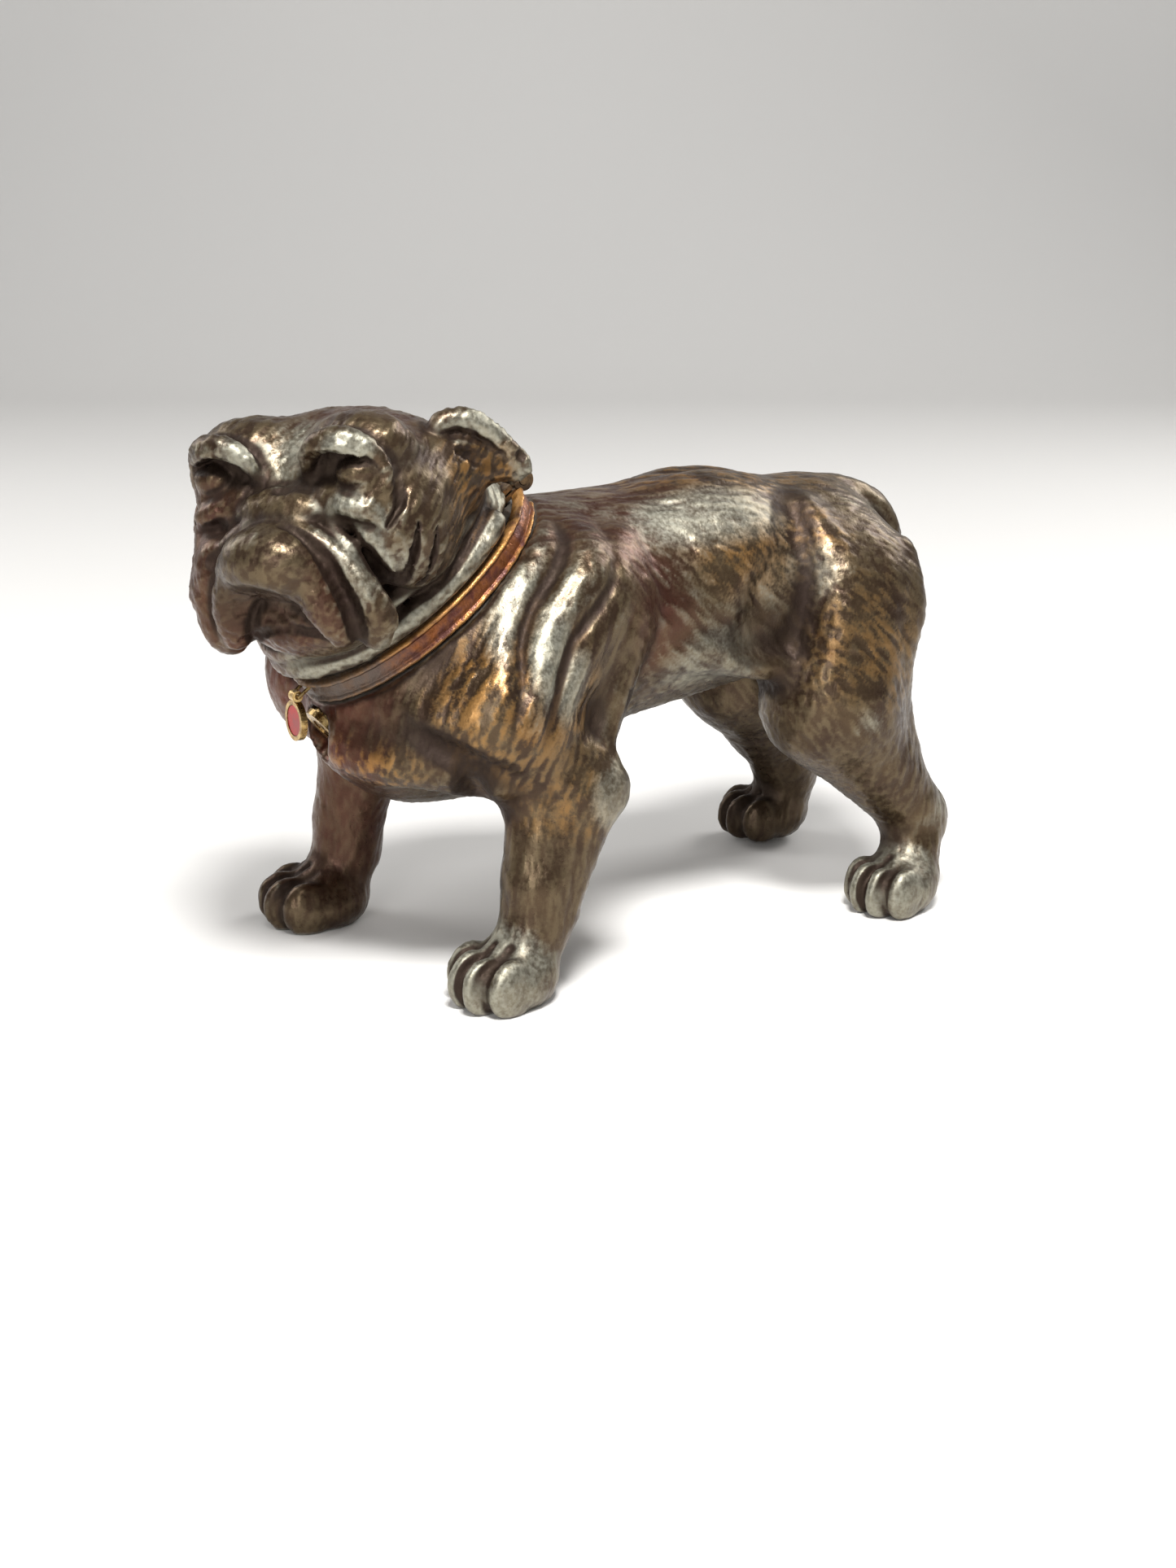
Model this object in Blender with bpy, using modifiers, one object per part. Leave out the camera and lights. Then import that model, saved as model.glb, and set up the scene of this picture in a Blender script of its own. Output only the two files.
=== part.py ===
"""Figural still bank: a small standing bulldog cast in white metal, hollow, with a
coin slot beside the spine and a head that swings back on a nape hinge behind a
collar band and locks at the throat.

Lengths are in metres, +Z up, the dog faces -Y and its left side is +X.
Tables that describe the casting are in millimetres and are scaled by MM.
"""
import math

import bmesh
import bpy
from mathutils import Euler, Matrix, Vector

MM = 0.001
ORIGIN_SHIFT = Vector((-1.5, 8.8, 0.0)) * MM  # brings the dog over the origin

# ---------------------------------------------------------------- casting
WALL = 2.2
FIT_GAP = 0.3
# voxel, smoothing rounds and the share of triangles that is kept
BODY_SKIN = (0.9, 8, 0.062)
HEAD_SKIN = (0.8, 7, 0.105)
BODY_HOLLOW_SKIN = (1.3, 4, 0.12)
HEAD_HOLLOW_SKIN = (1.2, 4, 0.14)
BEYOND = 60.0  # clear of the dog on every side

# name: (centre, radii), millimetres
BODY_BALLS = {
    "rib_cage": ((1.0, -21.0, 38.0), (16.5, 17.0, 17.0)),
    "brisket": ((0.5, -30.0, 33.0), (14.0, 13.0, 12.5)),
    "croup": ((1.0, 27.8, 43.6), (13.5, 9.8, 11.6)),
    "near_elbow": ((18.5, -15.4, 23.4), (3.0, 3.2, 3.4)),
    "near_fore_paw": ((20.4, -29.2, 2.9), (6.2, 6.6, 4.4)),
    "far_elbow": ((-16.5, -24.4, 22.6), (3.0, 3.2, 3.4)),
    "far_fore_paw": ((-17.0, -37.2, 3.0), (6.6, 7.2, 4.4)),
    "near_hock": ((14.0, 38.4, 10.6), (3.0, 3.2, 3.8)),
    "near_hind_paw": ((17.5, 30.6, 3.0), (5.8, 6.2, 4.2)),
    "far_hock": ((-14.0, 37.2, 10.6), (2.8, 3.0, 3.8)),
    "far_hind_paw": ((-16.4, 33.4, 3.8), (5.8, 6.2, 3.9)),
}
# name: (first end, its radius, second end, its radius), millimetres
BODY_LIMBS = {
    "barrel": ((1.0, -16.0, 41.3), 15.3, (1.0, 10.0, 43.4), 13.8),
    "loin": ((1.0, 8.0, 45.4), 12.2, (1.0, 25.0, 44.6), 11.2),
    "neck_root": ((1.0, -24.0, 42.0), 14.0, (0.8, -32.5, 45.5), 13.4),
    "near_shoulder": ((10.5, -14.0, 45.0), 9.0, (14.5, -27.0, 34.0), 8.6),
    "near_upper_arm": ((14.5, -27.0, 32.0), 8.0, (18.0, -17.5, 25.5), 6.0),
    "near_forearm": ((17.5, -21.0, 23.5), 6.0, (20.0, -23.8, 9.0), 4.6),
    "near_pastern": ((20.0, -24.0, 9.0), 4.6, (20.3, -27.2, 4.5), 4.4),
    "far_shoulder": ((-8.5, -18.0, 45.0), 9.0, (-13.0, -35.0, 35.0), 8.6),
    "far_upper_arm": ((-13.0, -34.5, 33.0), 8.0, (-15.5, -28.0, 25.0), 6.4),
    "far_forearm": ((-15.8, -31.0, 23.5), 6.0, (-17.5, -32.0, 9.0), 4.5),
    "far_pastern": ((-17.5, -32.2, 9.0), 4.5, (-17.3, -34.6, 4.5), 4.5),
    "near_thigh": ((9.0, 27.5, 42.0), 9.6, (12.5, 23.5, 29.0), 9.0),
    "near_gaskin": ((12.5, 23.5, 28.0), 8.4, (14.0, 34.5, 14.0), 4.9),
    "near_hind_pastern": ((14.0, 36.0, 12.0), 4.7, (16.5, 33.6, 4.5), 4.2),
    "far_thigh": ((-7.0, 28.0, 42.0), 9.6, (-10.5, 24.5, 29.0), 9.0),
    "far_gaskin": ((-10.5, 24.5, 28.0), 8.2, (-14.0, 34.0, 14.0), 4.7),
    "far_hind_pastern": ((-14.0, 35.6, 12.0), 4.5, (-15.5, 35.0, 5.5), 4.2),
    "tail_root": ((1.0, 25.0, 52.9), 3.4, (1.2, 33.0, 53.2), 3.0),
    "tail_bend": ((1.2, 33.0, 53.2), 3.0, (2.4, 37.6, 50.6), 2.7),
    "tail_tip": ((2.4, 37.6, 50.6), 2.7, (3.0, 39.0, 47.2), 2.2),
}
FAR_HIND_SOLE = 0.9  # this foot stands just clear of the ground
FAR_HIND_FOOT = ((-26.0, -9.0), (24.0, 46.0))
BODY_HOLLOW_BALLS = {
    "chest_hollow": ((1.0, -22.5, 39.5), (13.2, 13.0, 12.4)),
    "throat_hollow": ((1.0, -28.6, 37.6), (10.6, 11.0, 9.6)),
}
BODY_HOLLOW_LIMBS = {
    "barrel_hollow": ((1.0, -16.0, 41.6), 12.6, (1.0, 10.0, 43.6), 11.2),
    "loin_hollow": ((1.0, 8.0, 45.2), 9.4, (1.0, 25.0, 44.2), 8.4),
}

# The head is turned to the dog's left and tipped a little.
HEAD_CENTRE = (2.4, -40.0, 57.8)
HEAD_YAW = 32.0
HEAD_NOD = -4.0
HEAD_TILT = -6.5
# name: (centre, radii) in the head's own frame, +X its left, -Y its nose
HEAD_BALLS = {
    "skull": ((0.0, 0.8, 2.2), (15.6, 12.6, 9.4)),
    "occiput": ((0.0, 5.0, -3.5), (13.2, 10.5, 10.5)),
    "face": ((0.0, -8.5, -2.5), (10.0, 4.6, 9.0)),
    "muzzle": ((0.0, -15.2, -5.0), (7.4, 6.4, 6.0)),
    "lower_jaw": ((0.0, -9.0, -11.0), (8.0, 6.0, 5.2)),
}
HEAD_PAIRED_BALLS = {
    "brow": ((7.4, -8.4, 6.6), (6.4, 4.6, 4.0)),
    "eye": ((9.0, -9.3, 2.9), (2.9, 2.9, 2.7)),
    "cheek": ((12.2, -3.2, -3.0), (5.2, 8.6, 9.0)),
    "ear_root": ((14.6, 5.0, 2.2), (3.2, 4.8, 5.0)),
}
HEAD_PAIRED_LIMBS = {
    "flew_upper": ((5.4, -13.2, -3.6), 3.6, (8.6, -12.0, -8.6), 3.8),
    "flew_lower": ((8.6, -12.0, -8.6), 3.8, (8.4, -11.4, -12.6), 3.2),
    "ear_front": ((11.6, 1.4, 6.4), 1.7, (14.4, 3.8, 8.0), 1.9),
    "ear_top": ((14.4, 3.8, 8.0), 1.9, (17.6, 7.0, 5.4), 1.9),
    "ear_tip": ((17.6, 7.0, 5.4), 1.9, (19.4, 8.8, 1.6), 1.5),
}
HEAD_HOLLOW_BALLS = {
    "skull_hollow": ((0.0, 1.6, 1.0), (12.0, 9.6, 6.8)),
    "occiput_hollow": ((0.0, 4.0, -4.0), (9.6, 7.4, 7.6)),
}

# ---------------------------------------------------------------- neck joint
NECK_CENTRE = Vector((0.5, -31.98, 48.46)) * MM
NECK_SLOPE = 38.0  # the joint plane rises towards the nape
NECK_HALF = (11.9, 16.3)  # casting at the joint, across and along
NECK_HALF_FORM = (NECK_HALF[0] + 0.6, NECK_HALF[1] + 0.6)
NECK_HOLLOW = (NECK_HALF[0] - WALL, NECK_HALF[1] - WALL, 9.0)
NECK_SWELL = 12.0
NECK_STUB = 3.7
SHELF_HALF = (15.6, 21.0)  # the ledge cut into the shoulders for the collar
HEAD_NECK_HALF = (13.4, 17.4)
COLLAR_IN = (12.2, 16.6)
COLLAR_OUT = (13.9, 18.2)
COLLAR_TOP = -0.3
COLLAR_BOTTOM = -3.4
COLLAR_NOTCH = 11.6
COLLAR_EDGE = 0.35

# ---------------------------------------------------------------- coin slot
SLOT_LENGTH = 23.0
SLOT_WIDTH = 2.4
SLOT_AT = (-3.4, 6.0, 52.0)
SLOT_SPAN = (-6.0, 12.0)

# ---------------------------------------------------------------- nape hinge
HINGE_Y = 18.0
KNUCKLE_R = 1.35
KNUCKLE_BORE_R = 0.66
PIN_R = 0.58
KNUCKLE_MIDDLE = 3.2
KNUCKLE_SIDE = 2.6
KNUCKLE_GAP = 0.25
LEAF_THICK = 0.6
LEAF_IN = 11.9
LEAF_HALF = 4.3
BOSS_HALF = 5.0
BOSS_IN = 11.3
BOSS_DEEP = 5.2
BOSS_REACH = 8.0
BOSS_OUT = 20.0
SCREW_X = 2.6
SCREW_Y = 13.9
SCREW_HEAD_R = 0.95
SCREW_HEAD_THICK = 0.35
SCREW_R = 0.5
SCREW_LENGTH = 3.4
SCREW_SLOT_HALF = 0.12
NAPE_TRIM_IN = 0.9
NAPE_TRIM_TOP = 3.2

# ---------------------------------------------------------------- throat lock
LOCK_Z = -7.0
LOCK_FACE = 18.6
BARREL_R = 2.4
BARREL_BORE_R = 1.55
BARREL_IN = 12.4
FLANGE_R = 2.85
FLANGE_THICK = 0.8
PLUG_R = 1.49
PLUG_IN = 12.1
KEYWAY = (0.55, 2.0, 2.4)
CAM_AT = 11.0
CAM_THICK = 0.8
CAM_HALF = 1.0
CAM_REACH = 5.6
CAM_HUB_R = 1.8
LOCK_PLAY = 0.25
CAM_SCREW_R = 0.45
CAM_SCREW_HEAD_R = 0.9
CAM_SCREW_HEAD = 0.6
NUT_AT = 13.1
NUT_THICK = 1.1
NUT_ACROSS = 7.2
THROAT_BOSS_AT = 14.5
THROAT_BOSS = ((-5.4, 5.4), (-24.0, -THROAT_BOSS_AT), (-12.4, -3.0))
LOCK_POCKET_R = 4.4
KEEPER_AT = 9.2
KEEPER_THICK = 0.7
KEEPER_X = (2.4, 5.0)
KEEPER_TOP = 6.0
KEEPER_HOOK_Z = -8.3
KEEPER_HOOK_THICK = 0.8
KEEPER_HOOK_OUT = 12.0
KEEPER_SWING = ((1.9, 5.5), (-13.75, -5.0), (-9.8, 2.0))  # room for its foot as the head opens
KEEPER_BOSS_AT = 10.2
KEEPER_BOSS = ((0.6, 7.0), (-20.0, -KEEPER_BOSS_AT), (-8.0, 6.6))
KEEPER_ROOM = 0.6
KEEPER_SCREW_Z = (1.9, 4.4)
KEEPER_SCREW_HEAD_R = 1.05
KEEPER_SCREW_HEAD = 0.5

# ---------------------------------------------------------------- collar tag
TAG_X = 0.7
TAG_R = 2.45
TAG_THICK = 0.8
ENAMEL_R = 1.9
ENAMEL_THICK = 0.22
TAG_EYE_R = 0.36
TAG_EYE_LENGTH = 1.3
TAG_ROLL_R = 0.68
TAG_DROP = 3.0
ENAMEL_SINK = 0.3
STAPLE_WIRE_R = 0.24
STAPLE_Z = -0.95
STAPLE_OUT = 19.55
STAPLE_HALF = 1.0

# ---------------------------------------------------------------- finishes
BRONZE = ((0.145, 0.085, 0.045), 0.38, 0.85)
STRAP = ((0.23, 0.085, 0.035), 0.45, 0.5)
BRASS = ((0.52, 0.36, 0.14), 0.35, 1.0)
STEEL = ((0.42, 0.41, 0.39), 0.34, 1.0)
ENAMEL = ((0.22, 0.008, 0.006), 0.25, 0.0)


def clear_scene():
    for ob in list(bpy.data.objects):
        bpy.data.objects.remove(ob)


def new_collection(name):
    group = bpy.data.collections.new(name)
    bpy.context.scene.collection.children.link(group)
    return group


clear_scene()
BANK = new_collection("bulldog_still_bank")
CUTTERS = new_collection("bank_cutters")


def finish(ob, name, look):
    colour, roughness, metallic = look
    material = bpy.data.materials.new(name)
    material.use_nodes = True
    shader = material.node_tree.nodes["Principled BSDF"]
    shader.inputs["Base Color"].default_value = (*colour, 1.0)
    shader.inputs["Roughness"].default_value = roughness
    shader.inputs["Metallic"].default_value = metallic
    ob.data.materials.clear()
    ob.data.materials.append(material)


def object_from(bm, name, group, look=None, smooth=False):
    bmesh.ops.recalc_face_normals(bm, faces=bm.faces)
    for face in bm.faces:
        face.smooth = smooth
    mesh = bpy.data.meshes.new(name)
    bm.to_mesh(mesh)
    bm.free()
    ob = bpy.data.objects.new(name, mesh)
    group.objects.link(ob)
    if group is CUTTERS:
        ob.hide_render = True
        ob.display_type = "WIRE"
    if look:
        finish(ob, name, look)
    return ob


def boolean(ob, cutter, operation="DIFFERENCE"):
    modifier = ob.modifiers.new(operation.title(), "BOOLEAN")
    modifier.operation = operation
    modifier.solver = "EXACT"
    modifier.object = cutter


def pivot_at(ob, point):
    """Moves the object's origin to its joint without moving the shape."""
    ob.data.transform(Matrix.Translation(-point))
    ob.location = point


# ---------------------------------------------------------------- frames
def head_matrix():
    turn = Euler((0.0, 0.0, math.radians(HEAD_YAW))).to_matrix()
    nod = Euler((math.radians(HEAD_NOD), 0.0, 0.0)).to_matrix()
    tilt = Euler((0.0, math.radians(HEAD_TILT), 0.0)).to_matrix()
    at = Vector(HEAD_CENTRE) * MM + ORIGIN_SHIFT
    return Matrix.Translation(at) @ (turn @ nod @ tilt).to_4x4()


def body_matrix():
    return Matrix.Translation(ORIGIN_SHIFT)


def neck_matrix():
    """+X across the neck, +Y up its slope to the nape, +Z out of the neck to the head."""
    slope = Euler((math.radians(NECK_SLOPE), 0.0, 0.0)).to_matrix().to_4x4()
    return Matrix.Translation(NECK_CENTRE + ORIGIN_SHIFT) @ slope


HEAD = head_matrix()
BODY = body_matrix()
NECK = neck_matrix()


def neck_point(x, y, z):
    return NECK @ (Vector((x, y, z)) * MM)


# ---------------------------------------------------------------- cast forms
def add_ball(bm, centre, radii, frame, segments=40, rings=22):
    size = Matrix.Diagonal((*[r * MM for r in radii], 1.0))
    place = frame @ Matrix.Translation(Vector(centre) * MM) @ size
    bmesh.ops.create_uvsphere(bm, u_segments=segments, v_segments=rings, radius=1.0, matrix=place)


def add_limb(bm, start, start_r, end, end_r, frame):
    """Two spheres and the skin drawn tight over both."""
    part = bmesh.new()
    add_ball(part, start, (start_r,) * 3, frame)
    add_ball(part, end, (end_r,) * 3, frame)
    hull = bmesh.ops.convex_hull(part, input=part.verts)
    inside = [v for v in hull["geom_interior"] if isinstance(v, bmesh.types.BMVert)]
    bmesh.ops.delete(part, geom=inside, context="VERTS")
    mesh = bpy.data.meshes.new("limb")
    part.to_mesh(mesh)
    part.free()
    bm.from_mesh(mesh)
    bpy.data.meshes.remove(mesh)


def mirror_ball(entry):
    (x, y, z), radii = entry
    return (-x, y, z), radii


def mirror_limb(entry):
    (x0, y0, z0), r0, (x1, y1, z1), r1 = entry
    return (-x0, y0, z0), r0, (-x1, y1, z1), r1


def fuse(ob, voxel, smoothing, share):
    """One skin over the overlapping forms, softened and thinned."""
    remesh = ob.modifiers.new("Fuse", "REMESH")
    remesh.mode = "VOXEL"
    remesh.voxel_size = voxel * MM
    soften = ob.modifiers.new("Soften", "SMOOTH")
    soften.factor = 0.5
    soften.iterations = smoothing
    thin = ob.modifiers.new("Thin", "DECIMATE")
    thin.ratio = share


def body_forms():
    bm = bmesh.new()
    for centre, radii in BODY_BALLS.values():
        add_ball(bm, centre, radii, BODY)
    for limb in BODY_LIMBS.values():
        add_limb(bm, *limb, BODY)
    add_ball(bm, (0, 0, 0), (*NECK_HALF_FORM, NECK_SWELL), NECK)
    return bm


def head_forms():
    bm = bmesh.new()
    for centre, radii in HEAD_BALLS.values():
        add_ball(bm, centre, radii, HEAD)
    for entry in HEAD_PAIRED_BALLS.values():
        add_ball(bm, *entry, HEAD)
        add_ball(bm, *mirror_ball(entry), HEAD)
    for entry in HEAD_PAIRED_LIMBS.values():
        add_limb(bm, *entry, HEAD)
        add_limb(bm, *mirror_limb(entry), HEAD)
    add_ball(bm, (0, 0, 0), (*HEAD_NECK_HALF, NECK_SWELL), NECK)
    return bm


# ---------------------------------------------------------------- cutters
def neck_box(name, x, y, z, group=None):
    """A box given by its limits in the neck frame, millimetres."""
    bm = bmesh.new()
    size = Vector((x[1] - x[0], y[1] - y[0], z[1] - z[0])) * MM
    middle = Vector((x[0] + x[1], y[0] + y[1], z[0] + z[1])) * (MM / 2)
    place = NECK @ Matrix.Translation(middle) @ Matrix.Diagonal((*size, 1.0))
    bmesh.ops.create_cube(bm, size=1.0, matrix=place)
    return object_from(bm, name, group or CUTTERS)


def floor_box(name, x, y, z):
    """A box given by its limits in the dog's frame, millimetres."""
    bm = bmesh.new()
    size = Vector((x[1] - x[0], y[1] - y[0], z[1] - z[0])) * MM
    middle = Vector((x[0] + x[1], y[0] + y[1], z[0] + z[1])) * (MM / 2)
    place = BODY @ Matrix.Translation(middle) @ Matrix.Diagonal((*size, 1.0))
    bmesh.ops.create_cube(bm, size=1.0, matrix=place)
    return object_from(bm, name, CUTTERS)


def add_drum(bm, radius, start, end, frame, segments=32, radius_y=None):
    """A closed round or oval drum between two heights of the frame's Z axis."""
    height = (end - start) * MM
    middle = Matrix.Translation(Vector((0, 0, (start + end) / 2 * MM)))
    oval = Matrix.Diagonal((1.0, (radius_y or radius) / radius, 1.0, 1.0))
    bmesh.ops.create_cone(
        bm,
        cap_ends=True,
        segments=segments,
        radius1=radius * MM,
        radius2=radius * MM,
        depth=height,
        matrix=frame @ middle @ oval,
    )


def drum(name, radius, start, end, frame, look=None, segments=32, radius_y=None):
    bm = bmesh.new()
    add_drum(bm, radius, start, end, frame, segments, radius_y)
    return object_from(bm, name, BANK if look else CUTTERS, look, smooth=False)


def lock_frame(x=0.0, z=LOCK_Z):
    """+Z runs out through the throat along the lock, +Y points to the head."""
    turn = Matrix(((-1, 0, 0), (0, 0, -1), (0, -1, 0))).transposed().to_4x4()
    return NECK @ Matrix.Translation(Vector((x, 0, z)) * MM) @ turn


def across_frame(y, z):
    """+Z runs along the hinge pin, towards the dog's left."""
    turn = Euler((0.0, math.radians(90.0), 0.0)).to_matrix().to_4x4()
    return NECK @ Matrix.Translation(Vector((0, y, z)) * MM) @ turn


LOCK = lock_frame()


# ---------------------------------------------------------------- castings
def body_hollow():
    bm = bmesh.new()
    for centre, radii in BODY_HOLLOW_BALLS.values():
        add_ball(bm, centre, radii, BODY, 20, 12)
    for limb in BODY_HOLLOW_LIMBS.values():
        add_limb(bm, *limb, BODY)
    add_ball(bm, (0, 0, 0), NECK_HOLLOW, NECK, 20, 12)
    ob = object_from(bm, "body_hollow", CUTTERS)
    fuse(ob, *BODY_HOLLOW_SKIN)
    boss = (-BOSS_HALF, BOSS_HALF), (BOSS_IN, BOSS_OUT), (-BOSS_DEEP, BOSS_REACH)
    boolean(ob, neck_box("nape_boss_body", *boss))
    boolean(ob, neck_box("throat_boss_body", *THROAT_BOSS))
    return ob


def head_hollow():
    bm = bmesh.new()
    for centre, radii in HEAD_HOLLOW_BALLS.values():
        add_ball(bm, centre, radii, HEAD, 20, 12)
    add_ball(bm, (0, 0, 0), NECK_HOLLOW, NECK, 20, 12)
    ob = object_from(bm, "head_hollow", CUTTERS)
    fuse(ob, *HEAD_HOLLOW_SKIN)
    boss = (-BOSS_HALF, BOSS_HALF), (BOSS_IN, BOSS_OUT), (-BOSS_REACH, BOSS_DEEP)
    boolean(ob, neck_box("nape_boss_head", *boss))
    boolean(ob, neck_box("throat_boss_head", *KEEPER_BOSS))
    return ob


def hinge_clearance(name, side):
    """Room round the knuckles and under one leaf; side is -1 on the body, 1 on the head."""
    bm = bmesh.new()
    half = KNUCKLE_MIDDLE / 2 + KNUCKLE_GAP + KNUCKLE_SIDE + FIT_GAP
    add_drum(bm, KNUCKLE_R + FIT_GAP, -half, half, across_frame(HINGE_Y, 0.0), 20)
    drum_ob = object_from(bm, name, CUTTERS)
    low, high = sorted((0.0, side * (FIT_GAP / 2 + LEAF_THICK + FIT_GAP)))
    leaf = (-LEAF_HALF - FIT_GAP, LEAF_HALF + FIT_GAP)
    recess = neck_box(name + "_leaf", leaf, (LEAF_IN - FIT_GAP, HINGE_Y), (low - 0.05, high + 0.05))
    boolean(drum_ob, recess, "UNION")
    return drum_ob


def screw_holes(name, side):
    bm = bmesh.new()
    for x in (-SCREW_X, SCREW_X):
        frame = NECK @ Matrix.Translation(Vector((x, SCREW_Y, 0)) * MM)
        low, high = sorted((side * 0.2, side * (SCREW_LENGTH + 1.2)))
        add_drum(bm, SCREW_R + FIT_GAP, low, high, frame, 12)
    return object_from(bm, name, CUTTERS)


def body_casting():
    ob = object_from(body_forms(), "body_casting", BANK, BRONZE, smooth=True)
    fuse(ob, *BODY_SKIN)
    wide = (-BEYOND, BEYOND)
    boolean(ob, neck_box("above_joint", wide, wide, (0, BEYOND)))
    sleeve = drum("stub_sleeve", NECK_HALF[0], -NECK_STUB - 1, 2, NECK, None, 48, NECK_HALF[1])
    around = drum("round_stub", SHELF_HALF[0], -NECK_STUB, 1.0, NECK, None, 48, SHELF_HALF[1])
    boolean(around, sleeve)
    boolean(ob, around)
    boolean(ob, body_hollow())
    boolean(ob, floor_box("ground", wide, wide, (-BEYOND, 0)))
    boolean(ob, floor_box("far_hind_ground", *FAR_HIND_FOOT, (-BEYOND, FAR_HIND_SOLE)))
    x, y, z = SLOT_AT
    slot = (x - SLOT_WIDTH / 2, x + SLOT_WIDTH / 2), (y - SLOT_LENGTH / 2, y + SLOT_LENGTH / 2)
    boolean(ob, floor_box("coin_slot", *slot, (z + SLOT_SPAN[0], z + SLOT_SPAN[1])))
    boolean(ob, neck_box("keeper_swing", *KEEPER_SWING))
    boolean(ob, hinge_clearance("hinge_room_body", -1))
    boolean(ob, screw_holes("leaf_screw_holes_body", -1))
    boolean(ob, drum("lock_hole", BARREL_R + FIT_GAP, 8, 30, LOCK, None, 24))
    boolean(ob, drum("lock_pocket", LOCK_POCKET_R, 6, THROAT_BOSS_AT, LOCK, None, 24))
    boolean(ob, drum("lock_seat", FLANGE_R + 0.5, LOCK_FACE, 30, LOCK, None, 24))
    return ob


def head_casting():
    ob = object_from(head_forms(), "head_casting", BANK, BRONZE, smooth=True)
    fuse(ob, *HEAD_SKIN)
    wide = (-BEYOND, BEYOND)
    boolean(ob, neck_box("below_joint", wide, wide, (-BEYOND, FIT_GAP)))
    boolean(ob, neck_box("nape_trim", wide, (HINGE_Y - NAPE_TRIM_IN, BEYOND), (-2, NAPE_TRIM_TOP)))
    boolean(ob, head_hollow())
    pocket_x = (KEEPER_X[0] - KEEPER_ROOM, KEEPER_X[1] + KEEPER_ROOM)
    pocket_z = (-2, KEEPER_TOP + KEEPER_ROOM)
    boolean(ob, neck_box("keeper_pocket", pocket_x, (-KEEPER_BOSS_AT, -5.0), pocket_z))
    boolean(ob, hinge_clearance("hinge_room_head", 1))
    boolean(ob, screw_holes("leaf_screw_holes_head", 1))
    for z in KEEPER_SCREW_Z:
        frame = lock_frame(sum(KEEPER_X) / 2, z)
        boolean(ob, drum("keeper_hole", SCREW_R + FIT_GAP, 9, 9.6 + SCREW_LENGTH + 1.4, frame, None, 12))
    pivot_at(ob, hinge_axis_point())
    return ob


# ---------------------------------------------------------------- collar
def collar_band():
    outer = drum("collar_band", COLLAR_OUT[0], COLLAR_BOTTOM, COLLAR_TOP, NECK, STRAP, 56, COLLAR_OUT[1])
    inner = drum("collar_bore", COLLAR_IN[0], -8, 4, NECK, None, 56, COLLAR_IN[1])
    boolean(outer, inner)
    half = COLLAR_NOTCH / 2
    boolean(outer, neck_box("collar_notch", (-half, half), (10, 24), (-6, 4)))
    rounding = outer.modifiers.new("Edges", "BEVEL")
    rounding.width = COLLAR_EDGE * MM
    rounding.segments = 1
    rounding.limit_method = "ANGLE"
    boolean(outer, staple_room())
    return outer


def staple_points():
    """The wire's path in the neck frame: out of the band, across and back in."""
    low = -COLLAR_OUT[1] + 0.9
    out = -STAPLE_OUT
    left = TAG_X - STAPLE_HALF
    right = TAG_X + STAPLE_HALF
    return [(left, low, STAPLE_Z), (left, out, STAPLE_Z), (right, out, STAPLE_Z), (right, low, STAPLE_Z)]


def staple_room():
    bm = bmesh.new()
    for x in (TAG_X - STAPLE_HALF, TAG_X + STAPLE_HALF):
        add_drum(bm, STAPLE_WIRE_R + 0.1, 17.1, 19.0, lock_frame(x, STAPLE_Z), 10)
    return object_from(bm, "staple_holes", CUTTERS)


def tag_staple():
    curve = bpy.data.curves.new("tag_staple", "CURVE")
    curve.dimensions = "3D"
    curve.bevel_depth = STAPLE_WIRE_R * MM
    curve.bevel_resolution = 2
    curve.use_fill_caps = True
    spline = curve.splines.new("POLY")
    points = staple_points()
    spline.points.add(len(points) - 1)
    for point, place in zip(spline.points, points):
        point.co = (*neck_point(*place), 1.0)
    ob = bpy.data.objects.new("tag_staple", curve)
    BANK.objects.link(ob)
    finish(ob, "tag_staple", BRASS)
    return ob


def tag_axis():
    """The middle of the staple's crossbar, where the tag hangs."""
    return neck_point(TAG_X, -STAPLE_OUT, STAPLE_Z)


def tag_frame():
    """The tag hangs in a vertical plane below the crossbar, its face towards -Y."""
    turn = Euler((math.radians(90.0), 0.0, 0.0)).to_matrix().to_4x4()
    return Matrix.Translation(tag_axis()) @ turn


def collar_tag():
    frame = tag_frame()
    centre = frame @ Matrix.Translation(Vector((0, -TAG_DROP, 0)) * MM)
    half = TAG_THICK / 2
    ob = drum("collar_tag", TAG_R, -half, half, centre, BRASS, 32)
    bm = bmesh.new()
    size = Matrix.Diagonal((TAG_EYE_LENGTH * 0.9 * MM, (TAG_DROP - TAG_R + 0.6) * MM, 0.6 * MM, 1.0))
    tongue_y = -(TAG_DROP - TAG_R + 0.6) / 2 - TAG_EYE_R
    place = frame @ Matrix.Translation(Vector((0, tongue_y, 0)) * MM) @ size
    bmesh.ops.create_cube(bm, size=1.0, matrix=place)
    boolean(ob, object_from(bm, "tag_tongue", CUTTERS), "UNION")
    along_wire = Matrix.Translation(tag_axis()) @ Euler((0.0, math.radians(90.0), 0.0)).to_matrix().to_4x4()
    reach = TAG_EYE_LENGTH / 2
    boolean(ob, drum("tag_roll", TAG_ROLL_R, -reach, reach, along_wire, None, 20), "UNION")
    boolean(ob, drum("tag_eye", TAG_EYE_R, -2, 2, along_wire, None, 16))
    boolean(ob, drum("enamel_bed", ENAMEL_R, half - 0.35, 2, centre, None, 32))
    pivot_at(ob, tag_axis())
    bed = half - ENAMEL_SINK
    enamel = drum("tag_enamel", ENAMEL_R - 0.06, bed, bed + ENAMEL_THICK, centre, ENAMEL, 32)
    pivot_at(enamel, tag_axis())
    return ob


# ---------------------------------------------------------------- hinge
def hinge_axis_point():
    return neck_point(0, HINGE_Y, 0)


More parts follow.
